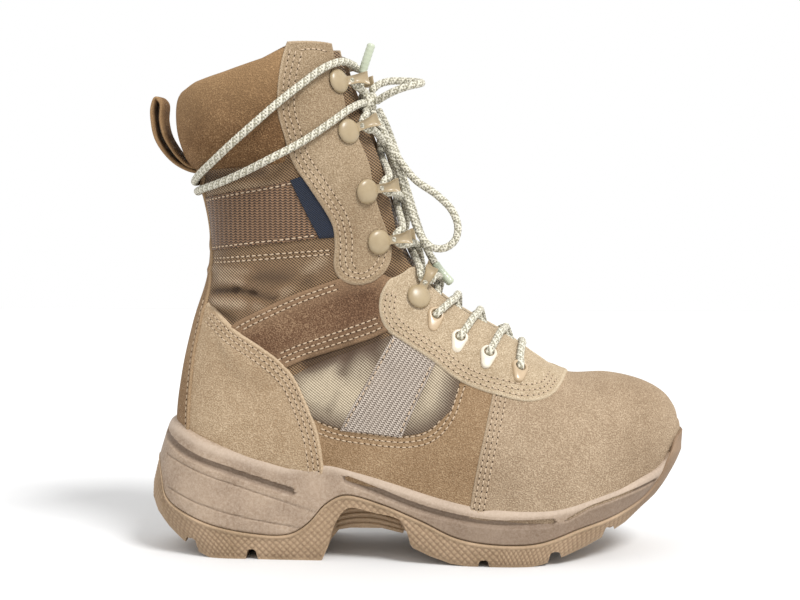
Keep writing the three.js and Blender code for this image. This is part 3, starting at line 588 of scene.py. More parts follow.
folds = [  # the two ends, the width and the depth of each, in mm; a ridge is negative
    (-22, 140.6, -9, 142, 1.7, 1.9), (-9, 142, 0, 140.3, 1.7, 1.8), (0, 140.3, 12, 137.6, 1.8, 1.5),
    (-21, 135.5, -6, 134.6, 2.6, -1.5), (-23, 131.8, -10, 126.3, 1.6, 1.5), (-18, 148, -7, 146, 2.8, -1.2),
    (2, 149, 28, 147, 4.0, 1.3), (36, 158, 16, 141, 3.4, -1.0), (2, 134, 9, 128, 2.4, -0.9),
    (-27, 152.6, 2, 151.5, 1.8, -0.8), (30, 105.5, 62, 119, 4.6, 3.4), (50, 112, 47, 99, 3.6, 2.0),
    (32, 90, 56, 84, 9.0, -1.9), (62, 112, 70, 98, 5.0, 1.6), (44, 88, 40, 80, 2.4, 1.1),
    (40, 98, 45, 103, 4.0, -1.0), (-29, 200, 6, 203, 2.6, 1.2), (-26, 194.5, 14, 197, 2.6, -0.7),
    (92, 84, 98, 104, 4.0, -1.2), (62, 146, 72, 150, 3.0, 1.2), (57, 141, 68, 140, 3.2, -1.0),
]


# the folds' depth at each point, which the creased cloth turns into painted shade in troughs and a painted
# highlight on ridges
def markFolds(piece):
    layer = piece.data.attributes.new("fold", "FLOAT", "POINT")
    places = np.empty(len(piece.data.vertices) * 3)
    piece.data.vertices.foreach_get("co", places)
    places = places.reshape(-1, 3) / mm
    layer.data.foreach_set("value", reliefAt(places[:, 0], places[:, 2]))


def skin(order, angle, lift=0.0):
    flat = pointOn(order, angle)
    return pointOn(order, angle, -(np.asarray(lift, float) - reliefAt(flat[..., 0], flat[..., 2])))


def tipped(order, angle, lift=0.0):
    # skin with the toe's end closed: orders from 0 down to -1 shrink to a point, a little further out
    order, angle = np.broadcast_arrays(np.asarray(order, float), np.asarray(angle, float))
    points = skin(np.maximum(order, 0), angle, lift)
    middle = (skin(np.zeros(order.shape), np.full(order.shape, math.pi / 2), lift)
              + skin(np.zeros(order.shape), np.full(order.shape, -math.pi / 2), lift)) / 2
    close = np.clip(-order, 0, 1)[..., None]
    points = points * (1 - close) + middle * close
    points[..., 0] += 1.4 * np.sqrt(np.clip(1 - (1 - close[..., 0]) ** 2, 0, 1)) * (close[..., 0] > 0)
    return points


# Shell: the last's skin less the same form 2.4 mm further in, cut at the bed, top line, collar and throat

topLine = [[-70, 236], [-45, 239], [-25, 248], [-8, 254], [7, 262], [20, 269], [34, 271], [41, 267],
           [60, 262]]
collarSeam = [[-60, 204], [-29, 204.5], [14, 208]]
bedLine = [[-66, 46], [-30, 42], [0, 41], [40, 38], [80, 28], [110, 22.5], [130, 21], [160, 22], [190, 27],
           [216, 36], [232, 44]]
shellForm = {"wall": 2.4, "rows": 230, "around": 150, "throatStart": 5.35, "collarFront": 15.0, "gap": 0.3}


def lastSolid(inset):
    order = np.concatenate([np.linspace(-1, 0, 6)[:-1], np.linspace(0, lastEnd, shellForm["rows"])])
    angle = np.linspace(-math.pi / 2, 1.5 * math.pi, shellForm["around"])
    points = tipped(order[:, None], angle[None, :], -inset)
    work = gridFrom(points)
    closeUp(work)
    bmesh.ops.recalc_face_normals(work, faces=work.faces)
    return plainObject(work)


def prism(outline, fromY, toY):
    work = bmesh.new()
    ring = [work.verts.new((x * mm, fromY * mm, z * mm)) for x, z in outline]
    face = work.faces.new(ring)
    grown = bmesh.ops.extrude_face_region(work, geom=[face])
    moved = [item for item in grown["geom"] if isinstance(item, bmesh.types.BMVert)]
    bmesh.ops.translate(work, verts=moved, vec=(0, (toY - fromY) * mm, 0))
    bmesh.ops.recalc_face_normals(work, faces=work.faces)
    return plainObject(work)


cutReach = {"top": 420, "side": 90}


def above(line, lift=0.0):
    # a block over everything that is above a line of the side view
    edge = [[x, z + lift] for x, z in line]
    top = cutReach["top"]
    return prism(edge + [[edge[-1][0], top], [edge[0][0], top]], -cutReach["side"], cutReach["side"])


def carve(body, cutters, operation="DIFFERENCE"):
    for cutter in cutters:
        cut = body.modifiers.new("cut", "BOOLEAN")
        cut.operation = operation
        cut.solver = "MANIFOLD"
        cut.object = cutter
        result = bpy.data.meshes.new_from_object(body.evaluated_get(bpy.context.evaluated_depsgraph_get()))
        body.modifiers.clear()
        body.data = result
        bpy.data.objects.remove(cutter)
    return body


def throatCutter(first):
    # a block along the throat's opening, narrow at its front end
    order = np.linspace(first, lastEnd, 90)
    section = sectionAt(order)
    half = np.where(order < first + 0.2, 2.5, section["throat"])
    corners = []
    deep, high = -32, 16
    for lift, side in ((deep, -1), (deep, 1), (high, 1), (high, -1), (deep, -1)):
        flat = section["high"] + section["up"] * lift
        corners.append(np.stack([flat[:, 0], section["highY"] + side * half, flat[:, 1]], -1))
    work = gridFrom(np.stack(corners, 1))
    closeUp(work)
    bmesh.ops.recalc_face_normals(work, faces=work.faces)
    return plainObject(work)


def makeShell():
    outer = lastSolid(0.0)
    front = shellForm["collarFront"]
    gap = shellForm["gap"]
    seam = [[x, z - gap] for x, z in collarSeam[:-1]] + [[front, collarSeam[-1][1] - gap]]
    collarBlock = prism(seam + [[front, 320], [seam[0][0], 320]], -cutReach["side"], cutReach["side"])
    carve(outer, [lastSolid(shellForm["wall"]), throatCutter(shellForm["throatStart"]), above(topLine),
                  collarBlock])
    carve(outer, [above(bedLine, gap)], "INTERSECT")
    work = workOf(outer)
    section = sectionAt(np.linspace(0, lastEnd, 60))
    centre = (section["low"] + section["high"]) / 2 * mm
    bmesh.ops.recalc_face_normals(work, faces=work.faces)
    for face in work.faces:
        place = face.calc_center_median()
        near = centre[np.argmin((centre[:, 0] - place.x) ** 2 + (centre[:, 1] - place.z) ** 2)]
        inward = Vector((near[0] - place.x, -place.y, near[1] - place.z))
        face.material_index = 1 if face.normal.dot(inward) > 0 else 0
    return addPiece(work, "shell", [shaftNylon, liningKnit],
                    ["vamp", "quarter_lateral", "quarter_medial", "shaft_lateral", "shaft_medial"], sharp=60)


shell = makeShell()
markFolds(shell)
print("shell made:", len(shell.data.polygons), "faces")


# Panels: each lies between two rails, draped over what is under it, with a rolled border

def placed(points, side=-1, wrap=False):
    points = np.asarray(points, float)
    order, angle = placeOn(points[:, 0], points[:, 1], -1)
    if side > 0:
        angle = math.pi - angle
    if wrap:
        angle = np.where(angle > math.pi, angle - 2 * math.pi, angle)
    return np.stack([order, angle], -1)


covers = []


def topOf(order, angle, tree):
    # how far above the last the outermost of the pieces in the tree stands
    reach = 9.0  # further out than any of them
    outer, base = tipped(order, angle, reach), tipped(order, angle, 0.0)
    lifts = np.zeros(base.shape[:-1])
    for index in np.ndindex(lifts.shape):
        start, way = Vector(outer[index] * mm), Vector((base[index] - outer[index]) * mm)
        span = way.length
        hit = tree.ray_cast(start, way / span, span)
        if hit[0] is not None:
            lifts[index] = reach * (1 - hit[3] / span)
    return lifts


def onForm(line):
    return tipped(line[:, 0], line[:, 1])


def mirrored(line):
    # a line of (order, angle) on the other side, run backwards
    return np.stack([line[::-1, 0], math.pi - line[::-1, 1]], -1)


def distanceTo(points, path):
    path = resampled(path, spacing=0.5)
    finder = KDTree(len(path))
    for index, place in enumerate(path):
        finder.insert(place, index)
    finder.balance()
    flat = points.reshape(-1, 3)
    return np.array([finder.find(p)[2] for p in flat]).reshape(points.shape[:-1])


panelForm = {"dip": 0.3, "groove": 0.34, "grooveWidth": 0.8, "hem": 1.2, "border": 2.4}


def clustered(count, length):
    # shares along a rung: close together by the two ends, even between; the same for the rungs themselves
    close = np.array([0, 0.12, 0.3, 0.55, 0.9, 1.35, 1.9]) * min(1.0, length / (3 * panelForm["border"]))
    middle = np.linspace(close[-1], length - close[-1], count - 2 * len(close) + 2)[1:-1]
    return np.concatenate([close, middle, length - close[::-1]]) / max(length, 1e-9)


def panel(name, railA, railB, material, thick=1.2, roll=1.2, rungs=80, across=44, under=1.0, slot="suede",
          unrolled=(), extraLift=0.0, stitched=(), settle=3):
    # thick above what it lies on, with a border that rolls down and dips in; stitched lines press grooves
    dip = panelForm["dip"]
    middle = tipped((railA[:, 0] + railB[:, 0]) / 2, (railA[:, 1] + railB[:, 1]) / 2)
    length = np.linalg.norm(np.diff(middle, axis=0), axis=1).sum()
    steps = clustered(rungs, length)
    run = runOf(middle) / length
    rails = [np.stack([np.interp(steps, run, rail[:, k]) for k in (0, 1)], -1) for rail in (railA, railB)]
    span = np.linalg.norm(onForm(rails[0]) - onForm(rails[1]), axis=1)
    shares = np.array([clustered(across, max(s, 0.4)) for s in span])
    place = rails[0][:, None, :] * (1 - shares[..., None]) + rails[1][:, None, :] * shares[..., None]
    order, angle = place[..., 0], place[..., 1]
    points = tipped(order, angle)
    sides = {"a": points[:, 0], "b": points[:, -1], "start": points[0], "end": points[-1]}
    border = np.min([distanceTo(points, path) for key, path in sides.items() if key not in unrolled
                     and np.linalg.norm(path[0] - path[-1]) + np.ptp(path, axis=0).sum() > 0.5], axis=0)
    for key, edge in (("a", np.s_[:, 0]), ("b", np.s_[:, -1]), ("start", np.s_[0]), ("end", np.s_[-1])):
        if key not in unrolled:
            border[edge] = 0
    support = topOf(order, angle, treeOf(*covers)) if covers else np.zeros(order.shape)
    for _ in range(settle):
        inner = support.copy()
        inner[1:-1] = (support[:-2] + support[2:] + 2 * support[1:-1]) / 4
        inner[:, 1:-1] = (inner[:, :-2] + inner[:, 2:] + 2 * inner[:, 1:-1]) / 4
        support = inner
    rise = np.sqrt(np.clip(1 - (1 - np.clip(border / roll, 0, 1)) ** 2, 0, 1))
    lift = support + extraLift - dip + (thick + dip) * rise
    for line in stitched:
        pressed = np.exp(-(distanceTo(points, line) / panelForm["grooveWidth"]) ** 2)
        lift -= panelForm["groove"] * pressed * np.clip(border, 0, 1)
    below = support + extraLift - dip - under * np.clip(border / panelForm["hem"], 0, 1)
    top, bottom = tipped(order, angle, lift), tipped(order, angle, np.minimum(below, lift))
    ring = np.concatenate([top, bottom[:, ::-1], top[:, :1]], 1)
    marks = np.concatenate([border, border[:, ::-1], border[:, :1]], 1)
    work = gridFrom(ring, border=marks)
    closeUp(work, 0.000004)
    piece = addPiece(work, name, material, sharp=180)
    covers.append(piece)
    return piece


def offsetLine(points, distance):
    # a line beside another in the side view, to its left for a positive distance
    smooth = centripetal(points, 1.0)
    way = unit(np.gradient(smooth, axis=0))
    return smooth + np.stack([-way[:, 1], way[:, 0]], -1) * distance


stitchLines = []  # each is a line of (order, angle) and the panel that it is sewn on


def sewnPanel(name, railA, railB, material, rows, **more):
    piece = panel(name, railA, railB, material, stitched=[onForm(row) for row in rows], **more)
    stitchLines.extend((row, piece) for row in rows)
    return piece


def bothSides(name, pointsA, pointsB, material, rows=(), only=None, **more):
    # the same panel on the outer and the inner side; the rails are rows of side view points, matched in order
    made = []
    for sideName, side in (("lateral", -1), ("medial", 1)):
        if only and sideName != only:
            continue
        rails = [placed(centripetal(points, each=10), side) for points in (pointsA, pointsB)]
        lines = [placed(offsetLine(points, distance), side) for points, distance in rows]
        made.append(sewnPanel(f"{name}_{sideName}", *rails, material, lines, **more))
    return made


# Toe and vamp: one piece over the toe, from the seam on one side to the seam on the other

vampSeam = [[113.2, 26], [114.6, 36], [117.9, 54.4], [121.5, 70.7], [125, 87.1], [128, 97], [136, 101.5],
            [147, 101], [155, 98]]
seam = placed(centripetal(vampSeam, each=10))
ridge = np.array([[5.25, math.pi / 2]])
backRail = np.concatenate([seam, ridge, mirrored(seam)])
fromRidge = backRail[:, 1] - math.pi / 2
spread = math.radians(178) / np.abs(fromRidge).max()  # the toe's end goes all the way under
toeRail = np.stack([np.full(len(backRail), -0.98), math.pi / 2 + fromRidge * spread], -1)
vampRow = [[113.6, 29], *vampSeam[1:5], [125.5, 90]]
vampRows = [placed(offsetLine(vampRow, -away), side) for away in (2.2, 4.6, 7.2) for side in (-1, 1)]

# Side panels, from the inner layers to the outer ones. Points are (x, z) in the side view.

windowEdge = [[22, 84], [30.5, 79.6], [43.2, 73.9], [61.5, 71.1], [80.9, 69.9], [90.8, 72.6], [97.5, 80.3],
              [102.1, 93.5], [106, 99.5], [117, 98], [129, 92]]
quarterFoot = [[22, 40], [30, 38], [43, 36], [60, 33], [76, 31], [88, 29.5], [98, 28], [106, 27], [112, 26.4],
               [118, 26], [124, 26]]
bothSides("quarter_suede", windowEdge, quarterFoot, quarterSuede,
          rows=[([[27, 81.2], *windowEdge[1:8], [103.6, 97]], -away) for away in (3.4, 6.0, 8.6)], rungs=90)

sewnPanel("toe_suede", backRail, toeRail, toeSuede, vampRows, across=110, rungs=200,
          unrolled=("b", "start", "end"))

bandTop = [[-27.5, 190.2], [-5.7, 194.4], [10.4, 197], [21.8, 199.6], [34, 202]]
bandFoot = [[-24.8, 162.1], [-1, 165.3], [20.1, 167.5], [35.6, 169.5], [46, 171]]
bothSides("shaft_webbing", bandTop, bandFoot, bandNylon, thick=0.9, roll=0.7, slot="nylon",
          rows=[(bandTop, -1.6), (bandFoot, 1.6)], rungs=60)
bandRow = [[-22.5, 157.1], [-1.1, 159], [20, 160.7], [42.1, 162.1]]
stitchLines.extend((placed(offsetLine(bandRow, away), side), shell)
                   for away in (1.0, -1.2) for side in (-1, 1))

clothTop = [[20, 97], [34, 104], [50, 110], [66, 116], [84, 122], [100, 116], [112, 106]]
clothFoot = [[22, 80], [30, 76], [43, 71], [61, 68], [80, 67], [92, 70], [104, 80]]
for piece in bothSides("window_cloth", clothTop, clothFoot, windowNylon, thick=2.2, roll=14, slot="nylon",
                       rungs=70, under=0.4):
    markFolds(piece)

bandLeft = [[76, 124], [72, 116.9], [61.3, 97.4], [50, 77.6], [45.8, 69]]
bandRight = [[99.5, 110], [94.2, 101], [87.6, 87.3], [80.9, 72.4], [78.3, 66]]
bothSides("window_webbing", bandLeft, bandRight, windowBand, thick=0.7, roll=0.6, slot="nylon",
          rows=[(bandLeft, 1.6), (bandRight, -1.6)], rungs=40)

strapTop = [[-19, 118.5], [-6.8, 126.5], [8.2, 134], [24.9, 141.3], [43, 147.5], [54, 150.5], [64, 151],
            [72, 148.4]]
strapFoot = [[6, 94.5], [17.9, 101.5], [26, 105], [34.1, 107.8], [49.7, 112.9], [60, 116.4], [69.9, 120],
             [80, 122.5]]
bothSides("ankle_strap", strapTop, strapFoot, strapSuede, thick=1.5, rungs=70,
          rows=[([[-15, 121], *strapTop[1:5]], away) for away in (-2.6, -5.2)]
          + [([[10, 97.4], *strapFoot[1:7]], away) for away in (3.0, 5.8, 8.4)])

bothSides("tab", [[20.6, 199.4], [25.2, 189.3], [30.6, 177.9], [35, 169]],
          [[29.5, 202.5], [37.5, 190.5], [42.5, 178], [44, 169.6]], tabNavy, only="lateral",
          thick=0.6, roll=0.5, slot="nylon", extraLift=0.1, rungs=24, across=24)

counterFront = [[-25, 135], [-21.8, 131.8], [-7.9, 121.2], [4.5, 113], [13.8, 105.7], [22.5, 95.5],
                [28.4, 84.3], [34.2, 69.1], [36.6, 58], [38.3, 43.6]]
counterBack = [[-27.5, 133], [-29.5, 128], [-31, 120], [-32.6, 111], [-34, 102], [-35.4, 91], [-36.4, 80],
               [-37.2, 68], [-37.6, 58], [-37.8, 50]]
bothSides("heel_counter", counterFront, counterBack, heelSuede, settle=14, rungs=80, across=60,
          rows=[(counterFront[1:], -away) for away in (2.4, 5.0, 7.6)])
print("side panels made")


# Collar: a padded roll of suede, knit inside, that thins to the seam under the upper eyestays

collarForm = {"out": 6.3, "in": 3.5, "front": 18.5, "thin": 17.0, "seam": 0.9, "dent": 0.35, "sink": 0.2,
              "turns": 150, "rises": 36}
collarFoot = np.array([[-60, 203.6], [-29, 204.1], [14, 207.6], [30, 209.4]])
collarTop = np.array([[-70, 236], [-52, 239], [-43, 245], [-30, 250.5], [-14, 255], [7, 262], [20, 269],
                      [34, 271], [60, 262]], float)


def orderAtLine(angle, line):
    near, far = np.full(angle.shape, 15.0), np.full(angle.shape, float(lastEnd))
    for _ in range(30):
        middle = (near + far) / 2
        point = pointOn(middle, angle)
        low = point[..., 2] < np.interp(point[..., 0], line[:, 0], line[:, 1])
        near, far = np.where(low, middle, near), np.where(low, far, middle)
    return near


def makeCollar():
    turn = np.linspace(-1, 1, collarForm["turns"] + 1)[:, None]
    share = np.linspace(0, 1, collarForm["rises"] + 1)
    share = np.concatenate([share, share[::-1][1:], share[:1]])[None, :]
    isOuter = (np.arange(share.shape[1]) <= collarForm["rises"])[None, :]
    order = np.broadcast_to(18.0 + 2.5 * share, (turn.shape[0], share.shape[1])).copy()
    for _ in range(5):
        section = sectionAt(order)
        part = (collarForm["front"] - section["lowX"]) / (section["highX"] - section["lowX"])
        widest = section["widest"]
        rise = (part - widest) / np.where(part > widest, 1 - widest, widest)
        turned = np.arcsin(np.clip(np.abs(rise), 0, 1) ** (section["highSquare"] / 2))
        reach = math.pi / 2 + np.sign(rise) * turned
        angle = -math.pi / 2 + turn * reach
        start, end = orderAtLine(angle, collarFoot), orderAtLine(angle, collarTop)
        order = start + (end - start) * share
    base = pointOn(order, angle)
    puff = np.sqrt(np.clip(1 - np.abs(2 * share ** 1.45 - 1) ** 2.9, 0, 1))
    away = np.clip((collarForm["front"] - base[..., 0]) / collarForm["thin"], 0, 1)
    full = np.sqrt(np.clip(1 - (1 - away) ** 2, 0, 1)) ** 1.15
    dents = np.sin(base[..., 0] * 0.21 + base[..., 2] * 0.13) * np.sin(base[..., 2] * 0.19 + 1.0)
    sink = collarForm["sink"]
    bulk = (collarForm["out"] + collarForm["dent"] * dents) * full + collarForm["seam"] * (1 - full)
    out = bulk * puff - sink
    inward = sink - shellForm["wall"] - collarForm["in"] * puff * (0.35 + 0.65 * full)
    fromTop = 1 + 8 * np.clip((1 - share) / 0.7, 0, 1)  # the suede is painted lighter towards the top edge, as lit from above
    marks = np.broadcast_to(np.where(isOuter, fromTop, -0.5), order.shape)
    work = gridFrom(pointOn(order, angle, -np.where(isOuter, out, inward)), border=marks)
    closeUp(work)
    mark = work.verts.layers.float["border"]
    for face in work.faces:
        face.material_index = 1 if sum(vert[mark] for vert in face.verts) < 0 else 0
    piece = addPiece(work, "collar_padded", [collarSuede, liningKnit], ["collar"], sharp=180)
    covers.append(piece)


makeCollar()


# Tongue: a flat padded flap under the throat

tongueForm = {"start": 4.9, "end": 20.4, "inset": 5.3, "half": 1.75, "least": 9, "past": 10, "round": 0.35,
              "rows": 170, "columns": 37}


def makeTongue():
    start, stop, columns = tongueForm["start"], tongueForm["end"], tongueForm["columns"]
    order = np.linspace(start, stop, tongueForm["rows"])[:, None]
    across = np.sin(np.linspace(-1, 1, columns) * math.pi / 2)[None, :]
    across = np.concatenate([across, across[:, ::-1][:, 1:]], 1)
    section = sectionAt(np.broadcast_to(order, (len(order), across.shape[1])), tongueForm["inset"])
    reach = np.maximum(tongueForm["least"], section["throat"] + tongueForm["past"])
    offset = reach * across
    edge = np.where(offset < 0, section["lateral"], section["medial"])
    part = np.clip(np.abs(offset / (edge - section["highY"])), 0, 0.97)
    turned = np.arccos(part ** (section["highSquare"] / 2))
    angle = np.where(offset < 0, math.pi - turned, turned)
    end = np.clip(np.minimum(order - start, stop - order) / tongueForm["round"], 0, 1)
    full = np.sqrt(np.clip(1 - across ** 2, 0, 1)) ** 0.5 * np.sqrt(1 - (1 - end) ** 2)
    outer = (np.arange(across.shape[1]) < columns)[None, :]
    lift = -tongueForm["inset"] + np.where(outer, 1.0, -1.0) * tongueForm["half"] * full
    work = gridFrom(pointOn(np.broadcast_to(order, lift.shape), angle, -lift))
    piece = addPiece(work, "tongue_padded", tongueNylon, ["tongue"], sharp=180)


makeTongue()
print("collar and tongue made")

# Upper eyestays, over the collar's front, the webbing, the tab and the strap's end

stayBack = [[19.5, 270.4], [16.5, 262], [14.5, 250.6], [14.4, 234.3], [17.4, 223.1], [21.9, 208.8],
            [30.9, 194.4], [37.9, 183], [41.3, 175.7], [42.7, 166], [42.2, 154], [45.5, 147.5],
            [50.5, 144.6], [56.5, 143.8]]
stayFront = [[40.3, 270.5], [42.2, 262], [45, 251], [47.2, 241], [49.2, 233], [54.4, 221.5], [60.2, 207],
             [62.6, 193], [65.6, 182], [69.4, 171], [71.6, 160.5], [69.4, 152.6], [63.6, 146.8],
             [56.5, 143.8]]
stayRowLine = [[18.4, 267], [15, 250.6], [14.9, 234.3], [17.9, 223.1], [22.4, 208.8], [31.4, 194.4],
               [38.4, 183], [41.8, 175.7], [43.2, 166], [42.9, 155.4], [46, 148.8], [51, 145.6],
               [57, 144.8], [63, 147.6], [68.4, 153.4], [70.6, 160.5]]
bothSides("upper_eyestay", stayBack, stayFront, shaftSuede, thick=1.3, rungs=110, across=50,
          rows=[(stayRowLine, 2.4), (stayRowLine, 5.2), (stayRowLine[:11], 8.2),
                ([[25, 267.6], [33, 268.2], [39, 267]], -1.6)])

# Lower eyestays: one piece in a U round the front of the throat

stayOuter = [[65.4, 139], [65.2, 130], [68.9, 121.6], [78.3, 113.8], [90.4, 106], [107.8, 94.5],
             [126.6, 87.6], [143.2, 83.9], [155.3, 85.7], [161.6, 90.4]]
stayInner = [[66.6, 141.6], [70.2, 146.6], [76.2, 149.6]]
throatEdge = np.linspace(10.75, 5.5, 7)
section = sectionAt(throatEdge)
edgePart = (section["throat"] - 0.8) / np.abs(section["lateral"] - section["highY"])
edgeTurn = np.arccos(edgePart ** (section["highSquare"] / 2))
innerRail = np.concatenate([placed(stayInner), np.stack([throatEdge, math.pi - edgeTurn], -1)])
outerRail = np.concatenate([placed(stayOuter), [[4.93, math.pi / 2]]])
innerRail = np.concatenate([innerRail, [[5.22, math.pi / 2]]])
outerRail, innerRail = (centripetal(rail * [1, 8], each=10) / [1, 8] for rail in (outerRail, innerRail))
outerRail, innerRail = (np.concatenate([rail, mirrored(rail)[1:]]) for rail in (outerRail, innerRail))
stayRows = [placed(offsetLine([[66.4, 141], *stayOuter[1:9], [160.6, 90.4]], away), side)
            for away in (2.4, 4.9, 7.4) for side in (-1, 1)]
sewnPanel("lower_eyestay", outerRail, innerRail, staySuede, stayRows, thick=1.4, rungs=240)

# Backstay: a strip up the heel, wide at the sole, narrow above the ankle

backLine = [[-36.6, 50], [-35.3, 62], [-34.1, 82.4], [-31.6, 108.4], [-28.3, 123.9], [-25.2, 138],
            [-24, 150], [-23.9, 162.4], [-25.9, 180.9], [-27.6, 194.2], [-28.4, 206]]
backRails = [placed(centripetal(backLine, each=10), side, wrap=True) for side in (-1, 1)]
backRows = [placed(offsetLine(backLine[:6], 1.9), side, wrap=True) for side in (-1, 1)]
sewnPanel("backstay", *backRails, backSuede, backRows, thick=1.5, rungs=130, across=40)
print("eyestays and backstay made")


# Stitches: short thread capsules that sit in the panels' troughs, with a dark dot of painted shade for the
# needle hole between them

stitchForm = {"pitch": 3.2, "half": 1.2, "thick": 0.44, "rise": 0.1}
holeForm = {"radius": 0.42, "deep": 0.18, "rise": 0.02}


def sew(work, line, own, everything):
    # one line's stitches, where its own panel is the outermost; how many there are is returned
    length = np.linalg.norm(np.diff(onForm(line), axis=0), axis=1).sum()
    coarse = resampled(line, count=max(8, int(length / 2)))
    lift = topOf(coarse[:, 0], coarse[:, 1], everything)
    ownLift = topOf(coarse[:, 0], coarse[:, 1], own)
    path = tipped(coarse[:, 0], coarse[:, 1], lift)
    outside = tipped(coarse[:, 0], coarse[:, 1], lift + 1.0) - path
    shown = (lift - ownLift < 0.5).astype(float)
    rows = resampled(np.concatenate([path, outside, shown[:, None]], 1), spacing=stitchForm["pitch"] / 4)
    threads = 0
    for index in range(2, len(rows) - 2, 4):
        if rows[index, 6] < 0.9:
            continue
        way = Vector(rows[index + 1, :3] - rows[index - 1, :3]).normalized()
        up = Vector(rows[index, 3:6]).normalized()
        side = up.cross(way).normalized()
        up = way.cross(side)
        turn = Matrix((side, up, way)).transposed().to_4x4()
        at = Vector(rows[index, :3]) + up * stitchForm["rise"]
        size = Matrix.Diagonal((stitchForm["thick"], stitchForm["thick"] * 0.8, stitchForm["half"], 1))
        bmesh.ops.create_uvsphere(work, u_segments=6, v_segments=5, radius=1,
                                  matrix=Matrix.Scale(mm, 4) @ Matrix.Translation(at) @ turn @ size)
        threads += 1
        at = Vector(rows[index + 2, :3]) + up * holeForm["rise"]
        size = Matrix.Diagonal((holeForm["radius"], holeForm["deep"], holeForm["radius"] * 1.1, 1))
        made = bmesh.ops.create_uvsphere(work, u_segments=6, v_segments=3, radius=1,
                                         matrix=Matrix.Scale(mm, 4) @ Matrix.Translation(at) @ turn @ size)
        for vert in made["verts"]:
            for face in vert.link_faces:
                face.material_index = 1
    return threads


def makeStitches():
    everything = treeOf(shell, *covers)
    trees = {own.name: treeOf(own) for own in {own for _, own in stitchLines}}
    total, whole = 0, bmesh.new()
    for line, own in stitchLines:
        work = bmesh.new()
        total += sew(work, line, trees[own.name], everything)
        join(whole, work)
    addPiece(whole, "stitching", [threadPale, needleHoleShade], merge=1e-7, sharp=180)
    print("stitches sewn:", total)


makeStitches()


# Pull loop: a suede strip folded behind the collar, standing off it

pullLoop = {  # the route is drawn in the side view, up its outer layer and down its inner one
    "route": [[-31, 203.4], [-37.6, 204.9], [-44.6, 208.6], [-50.8, 214.8], [-55, 222], [-56.8, 230.6],
              [-56.9, 238], [-54.9, 243], [-52.2, 240.6], [-52.3, 231.6], [-50.6, 223.6], [-46.6, 216.4],
              [-42.4, 211], [-37.5, 207], [-31, 205.4]],
    "half": 12.0, "thick": 1.15, "sides": 28,
}


def makePullLoop():
    route = centripetal(pullLoop["route"], 0.8)
    way = unit(np.gradient(route, axis=0))
    normal = np.stack([-way[:, 1], way[:, 0]], -1)
    turn = np.linspace(0, 2 * math.pi, pullLoop["sides"] + 1)
    across = np.sign(np.cos(turn)) * np.abs(np.cos(turn)) ** 0.35 * pullLoop["half"]
    depth = np.sign(np.sin(turn)) * np.abs(np.sin(turn)) ** 0.7 * pullLoop["thick"]
    flat = route[:, None, :] + normal[:, None, :] * depth[None, :, None]
    points = np.stack([flat[..., 0], np.broadcast_to(across, flat.shape[:2]), flat[..., 1]], -1)
    border = np.broadcast_to(pullLoop["half"] - np.abs(across), flat.shape[:2])
    work = gridFrom(points, border=border)
    closeUp(work)
    addPiece(work, "pull_strip", collarSuede, ["pull_loop"], sharp=180)


makePullLoop()


# Hooks and eyelets

# the places are rows of x, z and the way that the fitting points, in degrees
hookPlaces = [[85.5, 137.4, 73], [64.6, 166.9, 12], [58.6, 193.5, 18], [49.2, 224.4, 26], [43.5, 250.3, 3]]
eyeletPlaces = [[138.7, 99.8, 262], [122.9, 108, 256], [107.6, 116.1, 254], [94.7, 127.7, 258]]
hookForm = {
    "dome": [[0, 0.1], [6.2, 0.1], [6.6, 0.5], [6.5, 1.15], [5.8, 1.9], [4.4, 2.55], [2.4, 2.95], [0, 3.1]],
    "arm": [[1.5, 1.5], [5, 1.6], [7.2, 2.6], [9.2, 4.6], [11.6, 5.7], [14.2, 6.2], [16.0, 7.6]],
    "halfWidth": [2.4, 2.4, 2.3, 2.4, 2.8, 3.4, 3.6],
    "flange": [0, 0.2, 0.8, 1.5, 1.7, 1.3, 0.4],
    "thick": 1.0, "columns": 15, "rounding": 0.3,
}
coverTree = treeOf(*covers)


def fittingFrame(x, z, aim, side):
    # where a fitting sits on the outermost panel, as a matrix: forward, across and up from there
    def at(dx, dz):
        return pointOn(*placeOn(x + dx, z + dz, side))
    place, alongX, alongZ = at(0, 0), at(1, 0) - at(0, 0), at(0, 1) - at(0, 0)
    normal = np.cross(alongX, alongZ)
    normal /= np.linalg.norm(normal)
    if normal[1] * side < 0:
        normal = -normal
    forward = alongX * math.cos(math.radians(aim)) + alongZ * math.sin(math.radians(aim))
    forward -= normal * forward.dot(normal)
    forward /= np.linalg.norm(forward)
    across = np.cross(normal, forward)
    order, angle = placeOn(x, z, side)
    lift = topOf(np.array([order]), np.array([angle]), coverTree)[0]
    return Matrix([[*row] for row in np.stack([forward, across, normal, place + normal * lift], 1)]).to_4x4()


